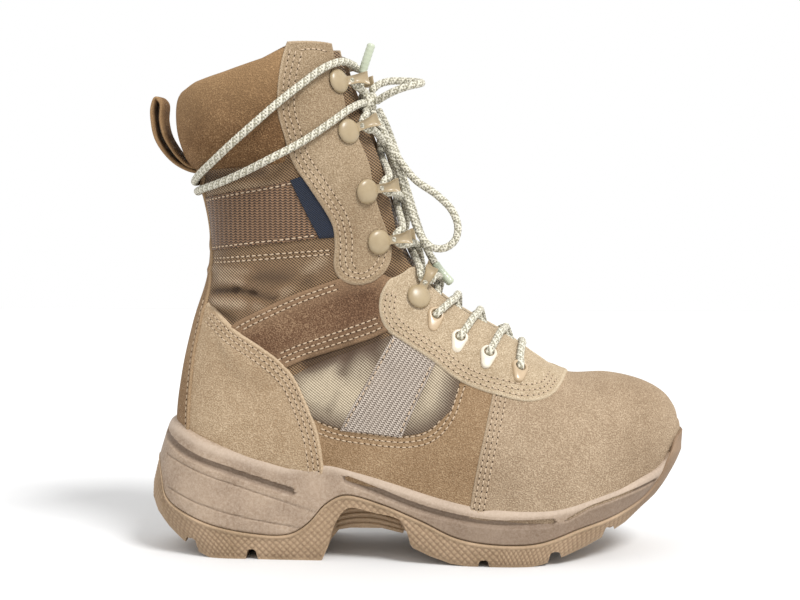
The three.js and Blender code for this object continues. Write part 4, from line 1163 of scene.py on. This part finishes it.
def hookWork():
    # a domed button, turned on its axis, and a pressed arm with raised sides
    columns = hookForm["columns"]
    work = bmesh.new()
    profile = [work.verts.new((r, 0, z)) for r, z in hookForm["dome"]]
    lines = [work.edges.new(pair) for pair in zip(profile[:-1], profile[1:])]
    bmesh.ops.spin(work, geom=profile + lines, axis=(0, 0, 1), cent=(0, 0, 0), dvec=(0, 0, 0),
                   angle=2 * math.pi, steps=36, use_merge=True, use_duplicate=False)
    bmesh.ops.remove_doubles(work, verts=work.verts, dist=0.001)
    bmesh.ops.recalc_face_normals(work, faces=work.faces)
    table = np.column_stack([hookForm["arm"], hookForm["halfWidth"], hookForm["flange"]])
    across = np.linspace(-1, 1, columns)
    top, low = [], []
    for x, z, half, flange in centripetal(table, each=5):
        rise = z + flange * np.abs(across) ** 3
        top.append(np.stack([np.full(columns, x), across * half, rise], -1))
        low.append(np.stack([np.full(columns, x), across * half, rise - hookForm["thick"]], -1))
    ring = np.concatenate([np.array(top), np.array(low)[:, ::-1], np.array(top)[:, :1]], 1)
    arm = gridFrom(ring / mm)
    closeUp(arm, 0.001)
    bmesh.ops.recalc_face_normals(arm, faces=arm.faces)
    sharp = [edge for edge in arm.edges if len(edge.link_faces) == 2 and edge.calc_face_angle() > 0.9]
    bmesh.ops.bevel(arm, geom=sharp, offset=hookForm["rounding"], offset_type="OFFSET", affect="EDGES",
                    segments=2, profile=0.5, material=-1)
    join(work, arm)
    return work


eyeletForm = {"hole": 2.7, "outer": 4.6, "tail": 7.2, "tip": 2.7, "height": 1.5, "foot": -1.2, "lip": 0.5,
              "sides": 48}


def eyeletWork():
    # a teardrop: the reach round it is that of circles that shrink along its tail
    turn = np.linspace(0, 2 * math.pi, eyeletForm["sides"] + 1)
    reach = np.zeros(len(turn))

    def ringAt(radius, z):
        return np.stack([radius * np.cos(turn), radius * np.sin(turn), np.full(len(turn), z)], -1)

    for share in np.linspace(0, 1, 24):
        centre = eyeletForm["tail"] * share
        radius = eyeletForm["outer"] + (eyeletForm["tip"] - eyeletForm["outer"]) * share
        inside = radius ** 2 - (centre * np.sin(turn)) ** 2
        circle = centre * np.cos(turn) + np.sqrt(np.maximum(inside, 0))
        reach = np.maximum(reach, np.where(inside > 0, circle, 0))
    hole, foot, low = eyeletForm["hole"], eyeletForm["foot"], 0.1
    lip = hole + eyeletForm["lip"]
    rings = [ringAt(*ring) for ring in ((hole, foot), (hole, 0.8), (hole + 0.15, 1.2), (lip, 1.45))]
    for share in (0.25, 0.5, 0.7, 0.85, 0.95, 1.0):
        height = low + (eyeletForm["height"] - low) * math.sqrt(1 - share ** 2)
        rings.append(ringAt(lip * (1 - share) + reach * share, height))
    rings += [ringAt(reach, foot), rings[0]]
    return gridFrom(np.array(rings) / mm)


hookFrames, eyeletFrames = {}, {}
# the middle two eyelets take a paler copy of the plastic, a painted reflection; the end two keep its tan
eyeletLitAndPlain = [eyeletTan, eyeletPaintedGlint, eyeletPaintedGlint, eyeletTan]
for sideName, side in (("lateral", -1), ("medial", 1)):
    for places, frames, shape, kind, finishes, slotName in (
            (hookPlaces, hookFrames, hookWork, "hook", [hookPaint] * 5, "hook_paint"),
            (eyeletPlaces, eyeletFrames, eyeletWork, "eyelet", eyeletLitAndPlain, "eyelet_plastic")):
        for number, (x, z, aim) in enumerate(places):
            turned = fittingFrame(x, z, aim, side)
            frames[(side, number)] = turned
            work = shape()
            bmesh.ops.transform(work, matrix=Matrix.Scale(mm, 4) @ turned, verts=work.verts)
            addPiece(work, f"{kind}_piece_{sideName}_{number + 1}", finishes[number],
                     [f"{kind}_{sideName}_{number + 1}"], merge=2e-6, sharp=40)
print("pull strip, hooks and eyelets made")


# Lace, tight part: out of each hole, over one eyestay's edge and under the other; round each hook's arm

laceTie = {"under": -1.1, "over": 3.1, "bar": 1.6, "eyelets": len(eyeletPlaces)}


def tieEnd(row, side, over, toward):
    # the last few points at a hole or a hook, the crossing's end first; toward is the crossing's order
    if row < laceTie["eyelets"]:
        turned = eyeletFrames[(side, row)]
        order, angle = placeOn(eyeletPlaces[row][0], eyeletPlaces[row][1], side)
        edge = sectionAt(order)
        width = abs((edge["lateral"] if side < 0 else edge["medial"]) - edge["highY"])
        part = math.acos((edge["throat"] / width) ** (edge["highSquare"] / 2))
        rim = math.pi - part if side < 0 else part
        if over:  # out of the hole, then over the edge
            hole = [turned @ Vector(p) for p in ((0, 0, -2.5), (0, 0, 0.6))]
            leave = tipped(order + (toward - order) * 0.3, angle + (rim - angle) * 0.28, 3.4)
            crest = tipped(order + (toward - order) * 0.62, angle + (rim - angle) * 0.75, 4.0)
            middle = tipped(order + (toward - order) * 0.85, rim + (math.pi / 2 - rim) * 0.2, 2.9)
            return [middle, crest, leave, hole[1], hole[0]]
        return [tipped(order + (toward - order) * 0.5, rim + (math.pi / 2 - rim) * 0.1, -2.2),
                tipped(order + (toward - order) * 0.3, rim + (angle - rim) * 0.2, -4.4)]
    turned = hookFrames[(side, row - laceTie["eyelets"])]
    way = -side * (1 if over else -1)
    bend = ((14.5, way * 4.2, 1.4), (11.6, way * 3.4, 2.0), (9.0, way * 0.8, 2.0), (8.8, -way * 0.6, 2.0))
    return [turned @ Vector(p) for p in bend]


def strandOf(start, crossing, end):
    return centripetal([[*p] for p in (*start[::-1], crossing, *end)], laceForm["each"])


def laceStrand(fromRow, toRow, side, lift):
    # the upper row's end comes out of its hole on one side; the lower row's dives under the other eyestay
    placesOf, first = eyeletPlaces + hookPlaces, laceTie["eyelets"]
    middle = np.mean([placeOn(placesOf[row][0], placesOf[row][1], side)[0] for row in (toRow, fromRow)])
    start, end = tieEnd(toRow, side, toRow < first, middle), tieEnd(fromRow, -side, fromRow >= first, middle)
    return strandOf(start, tipped(middle, math.pi / 2, lift), end)


barOrder = placeOn(eyeletPlaces[0][0], eyeletPlaces[0][1], -1)[0] - 0.1
barEnds = [tieEnd(0, side, True, barOrder) for side in (-1, 1)]
bar = strandOf(barEnds[0], tipped(barOrder, math.pi / 2, laceTie["bar"]), barEnds[1])
laceTube("lace_bar", bar, replaces=["lace_crossing_1"])
for row in range(1, len(eyeletPlaces + hookPlaces)):
    strands = [laceStrand(row - 1, row, side, laceTie[lay]) for side, lay in ((-1, "over"), (1, "under"))]
    laceTube(f"lace_cross_{row + 1}", strands[0], replaces=[f"lace_crossing_{row + 1}"], extra=[strands[1]])
print("tight laces made")


# Sole: walls round a plan outline that shrinks from level to level, between lines drawn in the side view

soleOutline = [[-60, 0], [-53, -21], [-32, -35.5], [4, -39], [50, -41], [90, -46.5], [128, -51],
               [163, -48.5], [194, -38], [217, -18], [228.7, 9], [222.5, 31.5], [200, 47], [162, 53.5],
               [125, 49.5], [84, 40.5], [44, 37], [4, 37], [-32, 35], [-53, 21]]
soleLevels = np.array([  # height, back end, front end
    [-2, -42, 184], [5, -47, 192], [12, -52, 199], [20, -57.5, 207], [28, -60, 214], [36, -59.5, 220],
    [45, -57.4, 224.5], [54, -55, 228], [63, -52.2, 228.5], [74, -47, 225]])
# how far in the wall leans, by its share of the sole's height
wallLean = np.array([[0, 2.6], [0.06, 1.3], [0.12, 0.7], [0.3, 0], [0.6, 0.8], [0.85, 1.8], [1, 3.4]])
treadLine = np.array([
    [-66, 40], [-60, 27], [-57, 19], [-49, 12.5], [-40, 7], [-30, 2], [-24, 0], [36, 0], [40, 9], [44, 14],
    [50, 15], [76, 15], [81, 13], [84, 8.5], [93, 4.5], [104, 1], [112, 0], [146, 0], [152, 1], [163, 4.4],
    [175, 8.5], [184, 12], [196, 17.5], [206, 26], [213, 31], [219, 39], [226, 50], [229.5, 58], [232, 68]])
partingLine = centripetal([  # between outsole and midsole
    [-66, 66], [-56, 52], [-52, 42], [-48, 30], [-29, 20], [-2, 14], [19, 14], [29, 20], [38, 30], [48, 35],
    [67, 31], [88, 23], [106, 15], [124, 12], [150, 12.5], [171, 19], [192, 25], [208, 34], [217, 47],
    [221, 60], [223, 76]])
rimLine = centripetal([  # the midsole's upper edge
    [-66, 73], [-46, 71], [-29, 64], [-7, 57], [17, 51.5], [27, 53], [40, 53], [56, 48.5], [77, 42], [98, 36],
    [119, 32], [140, 31], [160, 32], [181, 37], [203, 44], [217, 50], [224, 62], [232, 68]])
solePlan = {"ball": 128, "heel": -10, "toe": 228.7, "back": -60, "gap": 0.3, "lowest": -6.0, "highest": 90.0,
            "leanFade": 20}


def soleLines(x):
    tread, parting, rim = (np.interp(x, line[:, 0], line[:, 1]) for line in (treadLine, partingLine, rimLine))
    return tread, np.minimum(parting, rim), rim


def soleWall(planX, planY, share, lower):
    # share runs up the outsole's wall when lower is set, else up the midsole's; the height of each share is
    # found by halving, because the outline shrinks from level to level
    low, high = (np.full(share.shape, solePlan[key]) for key in ("lowest", "highest"))
    for _ in range(24):
        z = (low + high) / 2
        heel, toe = (np.interp(z, soleLevels[:, 0], soleLevels[:, k]) for k in (1, 2))
        ball, back = solePlan["ball"], solePlan["heel"]
        x = np.where(planX > ball, ball + (planX - ball) * (toe - ball) / (solePlan["toe"] - ball), planX)
        x = np.where(planX < back, back + (planX - back) * (heel - back) / (solePlan["back"] - back), x)
        tread, parting, rim = soleLines(x)
        bottom, top = (tread, parting) if lower else (np.minimum(parting + solePlan["gap"], rim), rim)
        under = z < bottom + share * (top - bottom)
        low, high = np.where(under, z, low), np.where(under, high, z)
    part = np.clip((z - tread) / (rim - tread), 0, 1)
    inset = np.interp(part, wallLean[:, 0], wallLean[:, 1])
    inset = inset * np.minimum(1, np.abs(planY) / solePlan["leanFade"])
    return np.stack([x, planY - np.sign(planY) * inset, z], -1), (top - bottom)


def gridNormals(points):
    return unit(np.cross(np.gradient(points, axis=0), np.gradient(points, axis=1)))


outlineRing = centripetal(soleOutline, 0.3, closed=True)
heelIndex, toeIndex = np.argmin(outlineRing[:, 0]), np.argmax(outlineRing[:, 0])
outlineRing = np.roll(outlineRing, -heelIndex, axis=0)
toeIndex = (toeIndex - heelIndex) % len(outlineRing)
lateralChain = outlineRing[:toeIndex + 1]
medialChain = np.concatenate([outlineRing[:1], outlineRing[toeIndex:][::-1]])
medialChain = medialChain[np.argsort(medialChain[:, 0], kind="stable")]

hatch = {"pitch": 3.7, "depth": 0.6, "lip": 1.5, "lipOut": 0.45, "end": 214,
         "columns": 640, "walls": 50, "bottom": 40}
lug = {"pitch": 15.0, "width": 2.6, "depth": 2.6, "edge": 7.0, "swing": 7.0, "swingLength": 24.0}


def ribbed(points, height, share, run):
    # diamonds on the wall, below a smooth rounded lip: how far out each point is pushed, and how hollow it is
    below = (1 - share) * height
    first, second = ((run + way * points[..., 2]) * math.pi / hatch["pitch"] for way in (1, -1))
    bumps = np.sqrt(np.abs(np.sin(first) * np.sin(second)))
    shown = np.clip((below - hatch["lip"]) / 0.8, 0, 1) * np.clip(share * height / 1.5, 0, 1)
    shown = shown * np.clip((hatch["end"] - points[..., 0]) / 12, 0, 1)
    fromLip = np.abs(below - hatch["lip"] * 0.55) / (hatch["lip"] * 0.75)
    lip = hatch["lipOut"] * np.clip(1 - fromLip ** 2, 0, 1)
    pushed = (bumps - 1) * hatch["depth"] * shown + lip - 0.9 * np.clip(1 - below / 0.6, 0, 1)
    return pushed, (1 - bumps) * shown


notches = [  # across the tread's edge: x, z, width at the mouth and at the root, depth
    [-35, 4, 9, 5, 5.5], [-1.2, 0, 7.5, 3.5, 5.5], [121, 0, 7, 3.5, 3.8], [158, 3, 8, 4, 4.6],
    [187, 13, 8, 4, 5]]
archLine = [[37, -2], [40.5, 12], [44, 21.5], [50, 28.5], [64, 26.5], [77, 23.5], [81, 17], [85, -2]]
blockForm = {"wide": 70, "notchIn": 13, "archIn": 25}  # how far from the middle the cuts start and end
ribForm = {"y": 24.9, "z": 16.6, "step": 2.7, "radius": 1.05, "count": 4}


def makeOutsole():
    fine = np.unique(np.concatenate([lateralChain[:, 0], medialChain[:, 0]]))
    lengths = [np.interp(fine, chain[:, 0], runOf(chain)) for chain in (lateralChain, medialChain)]
    arc = (lengths[0] + lengths[1]) / 2
    even = np.linspace(0, arc[-1], hatch["columns"])
    planX = np.interp(even, arc, fine)[:, None]
    share = np.linspace(0, 1, hatch["walls"])[None, :]
    full = np.broadcast_to(planX, (len(planX), share.shape[1]))
    shares = np.broadcast_to(share, full.shape)
    walls, marks = [], []
    for chain, side in ((lateralChain, -1), (medialChain, 1)):
        planY = np.broadcast_to(np.interp(planX, chain[:, 0], chain[:, 1]), full.shape)
        points, height = soleWall(full, planY, shares, True)
        normal = gridNormals(points) * (1 if side < 0 else -1)
        outward = np.where((normal[..., 1] * side < 0)[..., None], -normal, normal)
        endFade = np.clip(np.minimum(even, even[-1] - even) / 3.0, 0, 1)[:, None]
        pushed, hollow = ribbed(points, height, shares, even[:, None])
        walls.append(points + outward * (pushed * endFade)[..., None])
        # the diamonds' pits get painted shade; from x 190 on, the toe's rubber is a darker tone
        marks.append(np.maximum(hollow, np.clip((points[..., 0] - 190) / 18, 0, 0.9)))
    lateral, medial = walls
    across = np.linspace(0, 1, hatch["bottom"])[None, 1:-1, None]
    bottom = lateral[:, :1] * (1 - across) + medial[:, :1] * across
    edge = np.minimum(across, 1 - across)[..., 0] * np.abs(medial[:, :1, 1] - lateral[:, :1, 1])
    zigzag = np.abs((bottom[..., 1] / lug["swingLength"]) % 1 - 0.5) * 2 * lug["swing"]
    phase = np.abs(((bottom[..., 0] + zigzag) / lug["pitch"]) % 1 - 0.5) * lug["pitch"]
    groove = np.clip((lug["width"] / 2 + 0.6 - phase) / 0.6, 0, 1) * np.clip((edge - lug["edge"]) / 1.5, 0, 1)
    flat = np.clip((bottom[..., 2] - 12) / 2, 0, 1)
    bottom[..., 2] += groove * lug["depth"] * (1 - flat)
    top = lateral[:, -1:] * (1 - across[:, ::6]) + medial[:, -1:] * across[:, ::6]
    ring = np.concatenate([lateral[:, ::-1], bottom, medial, top[:, ::-1], lateral[:, -1:]], 1)
    hollows = np.concatenate([marks[0][:, ::-1], np.zeros(bottom.shape[:2]), marks[1],
                              np.zeros(top.shape[:2]), marks[0][:, -1:]], 1)
    work = gridFrom(ring, border=hollows)
    closeUp(work, 0.00002)
    bmesh.ops.recalc_face_normals(work, faces=work.faces)
    body = plainObject(work)
    cuts = []
    for x, z, mouth, root, depth in notches:
        outer, half, crown = mouth / 2 + 0.8, root / 2, z + depth
        shape = [[x - outer, z - 5], [x + outer, z - 5], [x + half + 0.5, crown - 1],
                 [x + half - 0.5, crown], [x - half + 0.5, crown], [x - half - 0.5, crown - 1]]
        cuts.append((shape, blockForm["notchIn"]))
    cuts.append((centripetal(archLine, each=6).tolist(), blockForm["archIn"]))
    wide = blockForm["wide"]
    carve(body, [prism(shape, *span) for shape, start in cuts for span in ((start, wide), (-wide, -start))])
    work = workOf(body)
    for side in (-1, 1):  # ribs along the block under the arch
        for level in range(ribForm["count"]):
            y, z = side * ribForm["y"], ribForm["z"] + ribForm["step"] * level
            route = centripetal([[43.5, y, z - 1.6], [50, y, z], [62, y, z + 0.3],
                                 [78 - level * 1.2, y, z - 3.2]], 1.2)
            join(work, gridFrom(tubeGrid(route, ribForm["radius"], sides=10, spacing=1.5)[0]))
    addPiece(work, "tread_rubber", soleRubber, ["outsole"], sharp=38)


makeOutsole()
print("outsole made")

grooves = [  # side view line, depth, half width, softness of the lower edge
    ([[-50.5, 64.5], [-48.7, 62.8], [-37.7, 56.4], [-7.2, 45.8], [20.4, 37.2]], 2.2, 0.9, 2.6),
    ([[49.9, 44], [66.8, 38], [87.9, 30.5], [108.8, 25.7], [129.4, 23.5], [156.1, 24.1]], 2.2, 1.0, 2.6),
    ([[164.4, 24.8], [175.8, 30.6], [191.7, 35.2], [211.5, 40.9]], 1.4, 0.5, 1.4),
    ([[-48.8, 53.1], [-28.9, 45.6], [-2, 36.8], [32.4, 26.1]], 0.55, 0.22, 0.35),
    ([[-47.5, 36.1], [-29.1, 29], [-7.4, 22.9], [24.5, 17.5]], 0.55, 0.22, 0.35),
]
belt = {"columns": 760, "rows": 74, "lip": 2.4, "lipMost": 3.0, "inside": 7.0, "tuck": 1.2, "foot": 0.9,
        "bulge": 0.5, "bulgeAt": 4.2, "bulgeWidth": 3.0, "fade": 4.0, "reach": 13.0, "openReach": 14}


def carved(points, run):
    # how deep the moulded grooves are at each point of the belt; they match on the two sides
    depth = np.zeros(points.shape[:2])
    for side in (-1, 1):
        own = np.where(points[..., 1] * side > 0)
        finder = KDTree(len(own[0]))
        for index, (i, j) in enumerate(zip(*own)):
            finder.insert((points[i, j, 0], 0, points[i, j, 2]), index)
        finder.balance()
        for line, deep, half, soft in grooves:
            path = np.array([(run[own[0][finder.find((x, 0, z))[1]], 0], z)
                             for x, z in centripetal(line, 1.5)])
            path[2:-2, 0] = np.convolve(path[:, 0], np.ones(5) / 5, "valid")
            path = resampled(path, spacing=0.25)
            way = unit(np.gradient(path, axis=0))
            left = np.stack([-way[:, 1], way[:, 0]], -1) * (1 if path[-1, 0] > path[0, 0] else -1)
            nearest = KDTree(len(path))
            for index, (s, z) in enumerate(path):
                nearest.insert((s, 0, z), index)
            nearest.balance()
            s, z = np.broadcast_to(run, depth.shape)[own], points[own][:, 2]
            low, high = path.min(0) - 5, path.max(0) + 5
            near = (s > low[0]) & (s < high[0]) & (z > low[1]) & (z < high[1])
            for k in np.nonzero(near)[0]:
                _, index, away = nearest.find((s[k], 0, z[k]))
                if away > half + soft + 1.2:
                    continue
                up = (s[k] - path[index, 0]) * left[index, 0] + (z[k] - path[index, 1]) * left[index, 1]
                reach = half + (soft if up < 0 else 0.35)
                value = deep * (1 - np.clip((away - half) / (reach - half), 0, 1)) if away > half else deep
                spot = own[0][k], own[1][k]
                depth[spot] = max(depth[spot], value)
    return depth


def makeMidsole():
    ring = resampled(np.vstack([outlineRing, outlineRing[:1]]), belt["columns"] + 1)
    run = runOf(ring)[:, None]
    share = np.linspace(0, 1, belt["rows"])[None, :]
    planX, planY, shares = (np.broadcast_to(values, (len(ring), belt["rows"]))
                            for values in (ring[:, :1], ring[:, 1:], share))
    points, height = soleWall(planX, planY, shares, False)
    closed = np.concatenate([points[-2:-1], points, points[1:2]])
    half = belt["rows"] // 2
    flat = gridNormals(closed)[1:-1, half:half + 1] * [1, 1, 0]  # level, outwards, one for each column
    if (flat[:, 0, :2] * (ring - ring.mean(0))).sum() < 0:
        flat = -flat
    flat = unit(flat)
    fromTop = (1 - shares) * height
    within = np.clip(belt["lip"] - fromTop, 0, None)
    lip = belt["lip"] - np.sqrt(np.clip(belt["lip"] ** 2 - within ** 2, 0, None))
    bulge = belt["bulge"] * np.exp(-((fromTop - belt["bulgeAt"]) / belt["bulgeWidth"]) ** 2)
    foot = belt["foot"] * np.clip(1 - shares * height / belt["foot"], 0, 1) ** 2
    fade = np.clip(height / belt["fade"], 0, 1)
    cut = carved(points, run) * fade
    pushed = (bulge - np.minimum(lip, belt["lipMost"]) - foot) * fade - cut
    wallPoints = points + flat * pushed[..., None]
    tree = treeOf(*covers, shell)
    reach = []  # from the rim in to the upper
    for place, way in zip(wallPoints[:-1, -1], flat[:-1, 0]):
        start = Vector((place + way * 0.5) * mm)
        hit = tree.ray_cast(start - Vector((0, 0, 0.6 * mm)), Vector(-way), 30 * mm)
        reach.append(hit[3] / mm - 0.5 if hit[0] is not None else belt["reach"])
    reach = np.clip(np.array(reach), 0.3, belt["openReach"])
    for _ in range(3):
        reach = (np.roll(reach, 1) + reach * 2 + np.roll(reach, -1)) / 4
    reach = np.append(reach, reach[0])[:, None, None]
    rim = wallPoints[:, -1:]
    down = np.array([0, 0, -1.0])
    inner = [rim - flat * reach * part + down * 0.25 * part for part in (0.5, 1.0)]
    tuck = rim - flat * (reach + belt["tuck"]) + down * 0.8
    depth = np.minimum(belt["inside"], height[:, -1:, None] * 0.9)
    low = rim - flat * (reach + belt["tuck"] + 1.0) + down * depth
    foot = wallPoints[:, :1] - flat * (reach * 0.5 + 4.0)
    loop = np.concatenate([wallPoints, *inner, tuck, low, foot, wallPoints[:, :1]], 1)
    loop[-1] = loop[0]
    marks = np.zeros(loop.shape[:2])
    groove = np.vstack([grooves[1][0], grooves[2][0]])  # below it the belt's front is darkened with painted shade, more towards the toe
    shaded = np.clip((np.interp(points[..., 0], groove[:, 0], groove[:, 1]) - points[..., 2]) / 2.5, 0, 1)
    shaded = shaded * np.clip((points[..., 0] - 50) / 70, 0, 0.95)
    # the crest under the rim gets a painted highlight; the grooves are darkened with painted shade, with some
    # dust
    crest = np.exp(-((fromTop - 3.0) / 2.6) ** 2)
    marks[:, :belt["rows"]] = np.maximum(np.clip(cut / 1.2, 0, 1), shaded) - crest * (cut < 0.2)
    work = gridFrom(loop, border=marks)
    addPiece(work, "midsole_belt", midFoam, ["midsole"], merge=0.00001)


makeMidsole()
print("midsole made")


# Insole: a felted bed inside the shell

bedForm = {"inset": 2.9, "bottom": 0.3, "top": 4.3}
bed = lastSolid(bedForm["inset"])
carve(bed, [above(bedLine, bedForm["bottom"])], "INTERSECT")
carve(bed, [above(bedLine, bedForm["top"])])
addPiece(workOf(bed), "foot_bed", liningFoot, ["insole"])
print("insole made")


# Floor, light and world

floorForm = {"half": 1.6, "grain": 40, "dark": "#d9d9d9", "light": "#dedede"}
floorWhite, floorTree, floorShader = newMaterial("studio paper, white")
place = addNode(floorTree, "TexCoord", out="Object")
grain = 1 / (floorForm["grain"] * mm)
paper = addNode(floorTree, "TexNoise", {"Vector": place, "Scale": grain, "Detail": 2.0})
tones = {0: paper, 6: linear(floorForm["dark"]), 7: linear(floorForm["light"])}
tone = addNode(floorTree, "Mix", tones, 2, data_type="RGBA")
finish(floorTree, floorShader, tone, paper, 0.02, 0.1 * mm, Roughness=0.9, **{"Specular IOR Level": 0.1})
work = bmesh.new()
bmesh.ops.create_grid(work, x_segments=2, y_segments=2, size=floorForm["half"])
floor = newObject("floor", meshOf(work, "floor"))
floor.data.materials.append(floorWhite)

world = bpy.data.worlds.new("studio")
world.use_nodes = True
background = world.node_tree.nodes["Background"]
background.inputs["Color"].default_value = linear("#ffffff")
background.inputs["Strength"].default_value = 1.0
bpy.context.scene.world = world

sunLight = {"energy": 2.6, "angle": 0.3, "way": (-0.45, 0.5, -0.85)}
sunData = bpy.data.lights.new("window light", "SUN")
sunData.energy = sunLight["energy"]
sunData.angle = sunLight["angle"]
sun = newObject("window light", sunData)
sun.rotation_euler = Vector(sunLight["way"]).to_track_quat("-Z", "Y").to_euler()

bpy.context.scene.view_settings.view_transform = "Standard"

print("floor and lights made")
